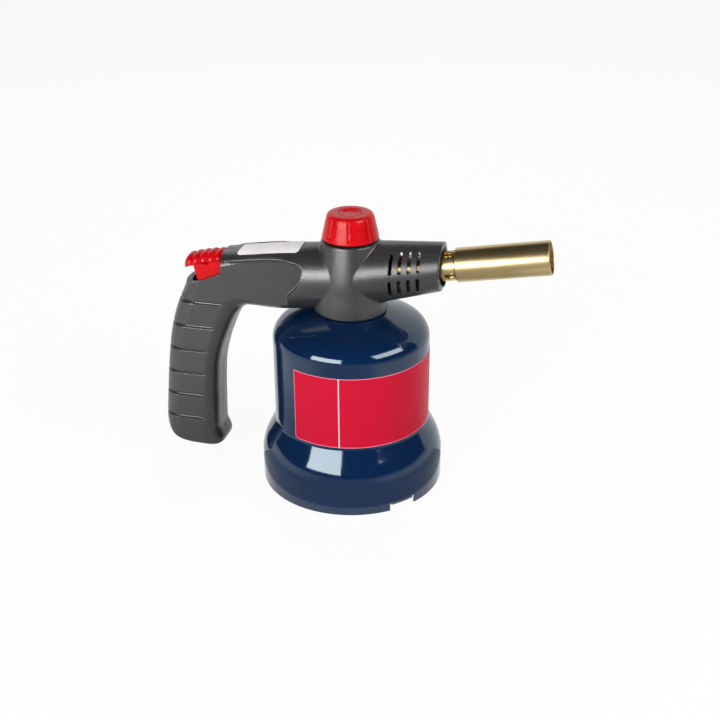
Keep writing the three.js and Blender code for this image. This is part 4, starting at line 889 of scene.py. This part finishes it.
def groove_tool(height, end):
    """Groove round the back of the grip: a slab outside a slimmer copy of the handle."""
    s = shape()
    depth, width = millimetres(s.groove_depth, s.groove_width)
    above, below = height + width * 0.35, height - width * 0.65
    tool = shell("groove", slab([(-130, above), (end, above), (end, below), (-130, below)], -20, 20))
    core = shell("core", handle_points(depth, 200, 96))
    side = FLAT_SIDE - depth
    trim(core, shell("room", block((-130, -side, 0), (0, side, 154))))
    return cut(tool, core)


class TORCH_OT_casing(bpy.types.Operator):
    """Moulds the two halves of the casing: handle, arm, column and slotted nose"""
    bl_idname = "torch.casing"
    bl_label = "Casing"

    def execute(self, context):
        overlap, bell_gap = 0.4, 0.3
        skin = casing_skin()
        inner = join(packed_copy("casing_left"), packed_copy("casing_right"))
        trim(inner, casing_inside(CASING_WALL - overlap))
        cut(skin, casing_inside())
        join(skin, inner)
        opening = shell("opening", slab(opening_outline(), -24, 24))
        knob_hole = shell("hole", turned([(0, 149), (7.3, 149), (7.3, 157), (0, 157)], 64))
        over_bell = inset_outline(bell_outline(), -bell_gap)[CLEAR_POINT:]
        over_bell = np.concatenate([[[0, 80]], over_bell, [[0, 111.3]]])
        cut(skin, opening, knob_hole, shell("clear", turned(over_bell, 120)))
        cut(skin, *[shell("slot", slab(outline, -26, 26)) for outline in slot_outlines()])
        cut(skin, *[shell("seat", cross_rod(3.2, x, z, 8.2, 30)) for x, z in SCREWS])
        for name, low, high in (("casing_left", SEAM, 40), ("casing_right", -40, -SEAM)):
            half = copied(skin)
            half.name = half.data.name = name.replace("casing", "moulded")
            trim(half, shell("half", block((-130, low, -5), (80, high, 170))))
            finished(half, "head", moulded_plastic(), [name], 30)
        bpy.data.meshes.remove(skin.data)
        return {"FINISHED"}


# ---- stage

def camera_matrix():
    """The camera's place and turn, solved from the bell's ellipses in the photograph."""
    forward = Vector((-0.2254, 0.8686, -0.4413)).normalized()
    right = forward.cross(Vector((0, 0, 1))).normalized()
    up = right.cross(forward)
    roll = math.radians(-0.33)
    turned_right = math.cos(roll) * right + math.sin(roll) * up
    turned_up = -math.sin(roll) * right + math.cos(roll) * up
    turn = Matrix((turned_right, turned_up, -forward)).transposed().to_4x4()
    return Matrix.Translation(Vector((0.17228, -0.636, 0.3997))) @ turn


def seen_rays(tree):
    """1 for what the camera sees, straight, by reflection or through glass, and 0 for other light."""
    path = node(tree, "ShaderNodeLightPath").outputs
    seen = path["Is Camera Ray"]
    for kind in ("Is Glossy Ray", "Is Transmission Ray"):
        seen = reckon(tree, "MAXIMUM", seen, path[kind])
    return seen


def stage_material(name, colour, glow, level=lambda tree: 1.0):
    """Pale surface that keeps its shadows and, by its glow, shows its level of white to the camera
    and in reflections."""
    material = bpy.data.materials.new(name)
    material.use_nodes = True
    tree = material.node_tree
    tree.nodes.clear()
    diffuse = node(tree, "ShaderNodeBsdfDiffuse", {"Color": (*colour, 1)}).outputs[0]
    light = node(tree, "ShaderNodeEmission", {
        "Color": (1, 1, 1, 1), "Strength": level(tree)}).outputs[0]
    share = reckon(tree, "MULTIPLY", seen_rays(tree), glow)
    node(tree, "ShaderNodeOutputMaterial", {"Surface": mix_shader(tree, share, diffuse, light)})
    return material


def card_level(tree):
    """Brightness of the low card: 0.42, with up to 0.5 more towards its left end, and towards its
    right end a little way out, but nothing more close to the bell. It goes by the angle about the
    bell's foot, in radians, and the way from it, in metres."""
    place = node(tree, "ShaderNodeTexCoord").outputs["Object"]
    split = node(tree, "ShaderNodeSeparateXYZ", {0: place}).outputs
    angle = reckon(tree, "ARCTAN2", split["Y"], split["X"])
    away = node(tree, "ShaderNodeVectorMath", {0: place}, operation="LENGTH").outputs["Value"]

    def ramp(*value_and_limits):
        return node(tree, "ShaderNodeMapRange", dict(enumerate(value_and_limits)),
                    interpolation_type="SMOOTHSTEP").outputs[0]

    right = reckon(tree, "MULTIPLY", ramp(angle, -1.05, -0.6, 0, 1), ramp(away, 0.35, 0.7, 1, 0))
    ends = reckon(tree, "MAXIMUM", ramp(angle, -2.4, -1.8, 1, 0), right)
    share = reckon(tree, "MULTIPLY", ends, ramp(away, 0.11, 0.2, 0, 1))
    return reckon(tree, "MULTIPLY_ADD", share, 0.5, 0.42)


def lamp(name, place, aim, size, power):
    """Rectangular lamp at a place, facing its aim, that the camera doesn't see."""
    data = bpy.data.lights.new(name, "AREA")
    data.shape = "RECTANGLE"
    data.size, data.size_y = size
    data.energy = power
    made = linked(name, data)
    turn = (Vector(aim) - Vector(place)).normalized().to_track_quat("-Z", "Y")
    made.matrix_world = Matrix.Translation(Vector(place)) @ turn.to_matrix().to_4x4()
    made.visible_camera = False
    return made


def swept(name, outline, start, end, material, count=96):
    """Part of a surface of revolution about the vertical: every (radius, height), in metres, is
    carried from one angle to another."""
    outline = np.asarray(outline, float) / MM
    angle = np.radians(np.linspace(start, end, count))
    points = carried_round(outline[:, 0, None], angle, outline[:, 1, None])
    made = shell(name, points, loop_columns=False)
    made.data.shade_smooth()
    dressed(made.data, material)
    return made


class TORCH_OT_stage(bpy.types.Operator):
    """Sets up the floor, the wall behind, the dark cards in front and overhead, the low grey card,
    the lamps, the world and the camera"""
    bl_idname = "torch.stage"
    bl_label = "Stage"

    def execute(self, context):
        s = context.scene.torch_stage
        wall_start, wall_end, card_height = 30, 162, 0.0006
        pale = stage_material("pale_floor", tuple(s.floor), s.glow)
        swept("floor", [(3.3, 0), (1.5, 0), (0.6, 0), (0.2, 0), (0, 0)], 0, 360, pale, 97)
        swept("wall", [(3, 2.6), (3, 0.3), (2.98, 0.14), (2.92, 0.05), (2.84, 0.012), (2.75, 0.002)],
              wall_start, wall_end, pale)
        dark = stage_material("dark_card", (0.02, 0.02, 0.02), 1, lambda tree: 0.05)
        front = swept("card_front", [(3, 2.6), (3, 0.02)], wall_end, 360 + wall_start, dark)
        over = swept("card_over", [(0, 2.6), (1.5, 2.6), (3, 2.6)], 0, 360, dark, 97)
        grey = stage_material("grey_card", (0.2, 0.2, 0.2), 1, card_level)
        low = swept("card_low", [(radius, card_height) for radius in (0.062, 0.4, 2.95)],
                    -180, wall_start, grey)
        low.visible_diffuse = low.visible_shadow = low.visible_transmission = False
        front.visible_camera = over.visible_camera = low.visible_camera = False
        lamp("key", (-0.43, -1.12, 0.42), (0, 0, 0.42), (0.95, 0.48), s.key_power)
        lamp("side", (1.054, -0.322, 0.77), (0, 0, 0.11), (1.0, 0.45), s.side_power)
        back = lamp("back", (-0.22, 0.82, 0.96), (0, 0, 0.11), (0.8, 0.8), s.back_power)
        back.visible_glossy = False
        world = bpy.data.worlds.new("studio")
        world.use_nodes = True
        tree = world.node_tree
        dim, white = (node(tree, "ShaderNodeBackground", {"Color": (level, level, level, 1)}).outputs[0]
                      for level in (0.1, 1))
        feed(tree, tree.nodes["World Output"].inputs["Surface"],
             mix_shader(tree, seen_rays(tree), dim, white))
        context.scene.world = world
        context.scene.view_settings.view_transform = "Standard"
        data = bpy.data.cameras.new("camera")
        data.lens, data.sensor_width = 60, 36
        data.clip_start, data.clip_end = 0.01, 20
        camera = linked("camera", data)
        camera.matrix_world = camera_matrix()
        context.scene.camera = camera
        return {"FINISHED"}


# ---- knob

def fluted(points, outside):
    """Knob's points with the radius of its outside lowered in each flute: by 1 less the square of
    the share of the flute's half width, to the power 0.6, fading out at its foot and its top."""
    s = shape()
    radius, height = np.hypot(points[..., 0], points[..., 1]), points[..., 2]
    first, half_width, inner_radius = math.radians(-79), 1.1, 12.4
    pitch = math.tau / s.flute_count
    angle = np.arctan2(points[..., 1], points[..., 0]) - first
    off = (angle + pitch / 2) % pitch - pitch / 2
    hollow = np.clip(1 - (off * radius / half_width) ** 2, 0, None) ** 0.6
    (foot, foot_fade), (top, top_fade) = (157.9, 0.8), (169.9, 1.2)
    fade = np.clip((height - foot) / foot_fade, 0, 1) * np.clip((top - height) / top_fade, 0, 1)
    fade = fade * (radius > inner_radius)
    fade = fade * fade * (3 - 2 * fade)
    depth = np.where(outside[:, None], hollow * fade * millimetres(s.flute_depth), 0)
    slim = 1 - depth / np.maximum(radius, 1)
    return points * np.stack([slim, slim, np.ones_like(slim)], axis=-1)


class TORCH_OT_knob(bpy.types.Operator):
    """Turns the fluted knob with its hub, and the dished cap in its top"""
    bl_idname = "torch.knob"
    bl_label = "Knob"

    def execute(self, context):
        hub = rounded([
            (0, 148.4, 0), (6.8, 148.4, 0.4), (6.8, 149.8, 0.1), (5.8, 149.8, 0.1), (5.8, 151.4, 0.1),
            (6.8, 151.4, 0.1), (6.8, 168.2, 0.6), (11.3, 168.2, 1.2), (14.7, 156, 0.3),
            (16.3, 156, 0.4)], 4)
        side = curve_through([
            (16.75, 156.3), (16.65, 156.9), (16.25, 158.8), (15.6, 161.6), (14.95, 164.6),
            (14.35, 167.2), (13.95, 168.6)], 60)
        top = rounded([
            (13.9, 168.8, 0), (13.2, 170.4, 1.4), (11.4, 170.95, 1.5), (7.7, 171.1, 0.5),
            (6.9, 170.7, 0.2), (6.9, 169.1, 0.2), (0, 169.1, 0)], 6)
        outline = np.concatenate([hub, side, top])
        outside = np.arange(len(outline)) >= len(hub)
        knob = shell("knob_moulding", fluted(turned(outline, 480), outside))
        cut(knob, shell("socket", block((-2.4, -2.4, 147), (2.4, 2.4, 168))))
        finished(knob, "knob", finish("gloss_red"), ["knob"], 40)
        cap = lathe("knob_button", [
            (0, 169.3, 0), (6.65, 169.3, 0.2), (6.65, 170.8, 0.3), (5.9, 170.75, 0.8),
            (4.2, 170.05, 1.6), (0, 169.8, 0)], 160, 6, closed=False)
        finished(cap, "knob", finish("gloss_red"), ["knob_cap"], 40)
        return {"FINISHED"}


# ---- thumb lever

def lever_cap_points(sides=96, rows=240):
    """Ribbed cap: a rounded arch carried from its tip to the casing. Each rib lifts the arch by the
    size of a sine along its length."""
    s = shape()
    spine = curve_through([
        # x, top height, side height, half width
        (-102.9, 131.6, 130.4, 2.2), (-102.8, 133.0, 129.9, 4.6), (-102.2, 135.1, 129.9, 6.4),
        (-101.0, 136.6, 130.4, 7.4), (-98.6, 137.6, 131.3, 8.0), (-93.0, 139.1, 132.4, 8.1),
        (-87.5, 140.3, 133.3, 8.2), (-82.7, 141.0, 134.0, 8.3), (-78.2, 141.4, 134.7, 8.3)], rows)
    x, top, low, half = (spine[:, k, None] for k in range(4))
    power = 2 / 2.7
    tip, ribbed, fade_start, fade = -102.6, 24.4, -102.7, 2.5
    along = np.clip((x - tip) / ribbed, 0, 1)
    angle = np.linspace(0, math.pi, sides)
    c, t = np.cos(angle), np.sin(angle)
    rise = np.abs(t) ** power
    lift = np.abs(np.sin(along * s.rib_count * math.pi)) ** 0.8 - 1
    lift = lift * millimetres(s.rib_height) * np.clip((x - fade_start) / fade, 0, 1)
    height = low + (top - low + lift) * rise
    across = np.sign(c) * np.abs(c) ** power * (half + lift * 0.8)
    arch = np.stack([x + 0 * c, across + 0 * x, height], axis=-1)
    back = np.linspace(-1, 1, 25)[1:-1]
    floor = np.stack([x + 0 * back, np.abs(arch[:, :1, 1]) * back, low + 0 * back], axis=-1)
    return capped(np.concatenate([arch, floor], axis=1))


def lever_skirt_points():
    """Skirt under the cap: its side outline carried across, with a wavy shelf at its top that
    stands proud at both sides."""
    outline = rounded([
        (-94.9, 132.9, 0.4), (-92.7, 124.4, 0.8), (-90.4, 124.4, 1.5), (-77.5, 129.8, 0.5),
        (-77.5, 137.2, 0.4), (-81.3, 136.9, 1.0), (-84.2, 135.2, 1.5), (-86.8, 134.2, 1.2),
        (-89.0, 134.7, 1.2), (-91.2, 134.6, 0.8)], 6, True)
    return slab(outline, -10.9, 10.9)


class TORCH_OT_thumb_lever(bpy.types.Operator):
    """Moulds the ribbed thumb lever with its skirt, hub and plunger pad"""
    bl_idname = "torch.thumb_lever"
    bl_label = "Thumb lever"

    def execute(self, context):
        pivot = (-73, 135)
        lever = shell("lever_moulding", lever_cap_points())
        join(lever, shell("skirt", lever_skirt_points()))
        join(lever, shell("neck", block((-79.6, -6.5, 132.4), (-73, 6.5, 137.6))),
             shell("hub", cross_rod(3.8, *pivot, -6.5, 6.5)),
             shell("pad", block((-93.7, -3.2, 124.4), (-87.3, 3.2, 129))))
        cut(lever, shell("bore", cross_rod(2.15, *pivot, -14, 14)))
        finished(lever, "lever", finish("gloss_red"), ["thumb_lever"], 42)
        return {"FINISHED"}


# ---- burner

class TORCH_OT_burner(bpy.types.Operator):
    """Turns the brass throat with its air holes, the flame holder and the flame tube"""
    bl_idname = "torch.burner"
    bl_label = "Burner"

    def execute(self, context):
        brass = polished_brass()
        tube = lathe("brass_flame_tube", [
            (9.1, 64.2, 0.1), (9.5, 64.2, 0.3), (10, 64.9, 0.4), (10, 118.6, 0.25),
            (9.1, 118.6, 0.25)], 200, 5, burner=True)
        finished(tube, "head", brass, ["flame_tube"], 30)
        throat = lathe("brass_throat", [
            (5.3, 50, 0.3), (8.75, 50, 0.5), (8.75, 70.8, 0.2), (7.4, 70.8, 0.2), (7.4, 57.6, 0.3),
            (6.7, 57.6, 0.2), (6.2, 65.2, 0.4), (1.2, 66.6, 0.2), (1.2, 59.6, 0.1), (3.3, 58.2, 0.2),
            (3.3, 54, 0.1), (5.3, 54, 0.1)], 160, burner=True)
        air_holes, first_hole, hole_place = 4, 24, 60.9
        hole = turned([(0, 6.9), (3, 6.9), (3, 11), (0, 11)], 48)[..., [0, 2, 1]] * (1, -1, 1)
        cut(throat, *[
            shell("hole", on_burner_axis(
                about_axis(hole, math.radians(first_hole + 360 / air_holes * k)) + (0, 0, hole_place)))
            for k in range(air_holes)])
        finished(throat, "head", brass, ["burner_throat"], 30)
        disc = lathe("flame_disc", [
            (2.2, 71.1, 0.2), (8.8, 71.1, 0.3), (8.8, 73.1, 0.3), (2.2, 73.1, 0.2)], 96, burner=True)
        ports, port_circle = 8, 6
        port = turned([(0, 69), (1.5, 69), (1.5, 75), (0, 75)], 24)
        cut(disc, *[
            shell("port", on_burner_axis(
                port + (port_circle * math.cos(turn), port_circle * math.sin(turn), 0)))
            for turn in np.arange(ports) / ports * math.tau])
        finished(disc, "head", finish("machined_brass"), ["flame_holder"], 30)
        return {"FINISHED"}


# ---- sticker

class TORCH_OT_sticker(bpy.types.Operator):
    """Lays the bare white sticker over the arm's spine"""
    bl_idname = "torch.sticker"
    bl_label = "Sticker"

    def execute(self, context):
        casing = join(*(copied(bpy.data.objects[name]) for name in ("moulded_right", "moulded_left")))
        start, end, half, corner, above = -67.6, -29.0, 9.6, 2.6, 170
        gap, thickness = 0.00008, 0.00012
        x = np.linspace(start, end, 92)[:, None]
        near = np.minimum(np.minimum(x - start, end - x), corner)
        reach = half - corner + np.sqrt(np.maximum(corner**2 - (corner - near) ** 2, 0.0004))
        across = reach * np.linspace(-1, 1, 24)
        points = np.stack([x + 0 * across, across, above + 0 * across], axis=-1)
        sheet = shell("sticker", points, loop_columns=False)
        wrap = sheet.modifiers.new("lay", "SHRINKWRAP")
        wrap.target = casing
        wrap.wrap_method = "PROJECT"
        wrap.use_project_z = True
        wrap.use_negative_direction = True
        wrap.use_positive_direction = False
        wrap.offset = gap
        film = sheet.modifiers.new("film", "SOLIDIFY")
        film.thickness = thickness
        film.offset = 1
        applied(sheet)
        bpy.data.meshes.remove(casing.data)
        merged(sheet.data, SHELL_REACH)
        finished(sheet, "head", finish("sticker_film"), (), 60)
        return {"FINISHED"}


# ---- screws and inner parts

class TORCH_OT_screws(bpy.types.Operator):
    """Turns the pan-head casing screws, each with a cross recess"""
    bl_idname = "torch.screws"
    bl_label = "Screws"

    def execute(self, context):
        profile = turned(rounded([
            (0, -9.2, 0), (0.9, -9.2, 0.2), (1.4, -8, 0.4), (1.4, 8.5, 0), (2.9, 8.5, 0.3),
            (2.9, 9.5, 0.5), (2.0, 10.4, 1.2), (0, 10.5, 0)], 5), 48)[..., [0, 2, 1]]
        for k, (x, z) in enumerate(SCREWS):
            screw = shell("screw_%d" % (k + 1), profile + (x, 0, z))
            for wide, tall in ((1.4, 0.3), (0.3, 1.4)):
                cut(screw, shell("recess", block((x - wide, 9.3, z - tall), (x + wide, 12, z + tall))))
            finished(screw, "head", finish("zinc_plated"),
                     ["casing_screw_%d" % (k + 1)])
        return {"FINISHED"}


class TORCH_OT_spring(bpy.types.Operator):
    """Winds the igniter's spring, a helix of round wire"""
    bl_idname = "torch.spring"
    bl_label = "Igniter spring"

    def execute(self, context):
        low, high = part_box("igniter_spring")
        wire, turns, radius = 0.4, 4, 5.1
        middle = millimetres((low.x + high.x) / 2 - BELL_AXIS)
        share = np.linspace(0, 1, 48 * turns)
        angle = share * turns * math.tau
        height = millimetres(low.z) + wire + share * (millimetres(high.z - low.z) - 2 * wire)
        path = carried_round(radius, angle, height) + (middle, 0, 0)
        spring = shell("spring", capped(pipe(path, wire, 12)))
        finished(spring, "head", finish("bright_steel"), ["igniter_spring"], 60)
        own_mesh(spring)
        return {"FINISHED"}


class TORCH_OT_inner_parts(bpy.types.Operator):
    """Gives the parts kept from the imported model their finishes"""
    bl_idname = "torch.inner_parts"
    bl_label = "Inner parts"

    def execute(self, context):
        finishes = {
            finish("machined_brass"): ["valve_body", "gland_nut", "gas_tube", "injector_jet"],
            finish("bright_steel"): [
                "piercing_needle", "valve_spindle", "spark_electrode", "lever_pin", "knob_clip"],
            finish("black_rubber"): ["cartridge_gasket", "spindle_seal"],
            finish("glazed_ceramic"): ["electrode_insulator"],
            finish("igniter_black"): ["piezo_body"],
            finish("gloss_red"): ["piezo_plunger"],
            finish("lead_jacket"): ["ignition_lead"],
        }
        for material, names in finishes.items():
            for name in names:
                dressed(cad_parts[name].data, material)
        return {"FINISHED"}


class TORCH_PT_panel(bpy.types.Panel):
    """Lists the sizes, colours and powers, and a button for each operator"""
    bl_idname = "TORCH_PT_panel"
    bl_label = "Gas torch"
    bl_space_type = "VIEW_3D"
    bl_region_type = "UI"
    bl_category = "Gas torch"

    def draw(self, context):
        for group in (context.scene.torch_shape, context.scene.torch_finish, context.scene.torch_stage):
            box = self.layout.box()
            for key in group.__annotations__:
                box.prop(group, key)
        for operator in OPERATORS:
            self.layout.operator(operator.bl_idname)


GROUPS = {"torch_shape": TorchShape, "torch_finish": TorchFinish, "torch_stage": TorchStage}
OPERATORS = (
    TORCH_OT_stage, TORCH_OT_bell, TORCH_OT_label, TORCH_OT_cartridge, TORCH_OT_casing,
    TORCH_OT_sticker, TORCH_OT_knob, TORCH_OT_thumb_lever, TORCH_OT_burner, TORCH_OT_screws,
    TORCH_OT_spring, TORCH_OT_inner_parts,
)


def register():
    """Registers the classes and gives the scene its groups of properties."""
    for kind in (*GROUPS.values(), *OPERATORS, TORCH_PT_panel):
        bpy.utils.register_class(kind)
    for name, kind in GROUPS.items():
        setattr(bpy.types.Scene, name, bpy.props.PointerProperty(type=kind))


def unregister():
    """Takes back what register() did."""
    for name in GROUPS:
        delattr(bpy.types.Scene, name)
    for kind in (TORCH_PT_panel, *reversed(OPERATORS), *reversed(list(GROUPS.values()))):
        bpy.utils.unregister_class(kind)


def main():
    """Builds the torch and its stage."""
    register()
    for operator in OPERATORS:
        family, name = operator.bl_idname.split(".")
        getattr(getattr(bpy.ops, family), name)()


if __name__ == "__main__":
    main()
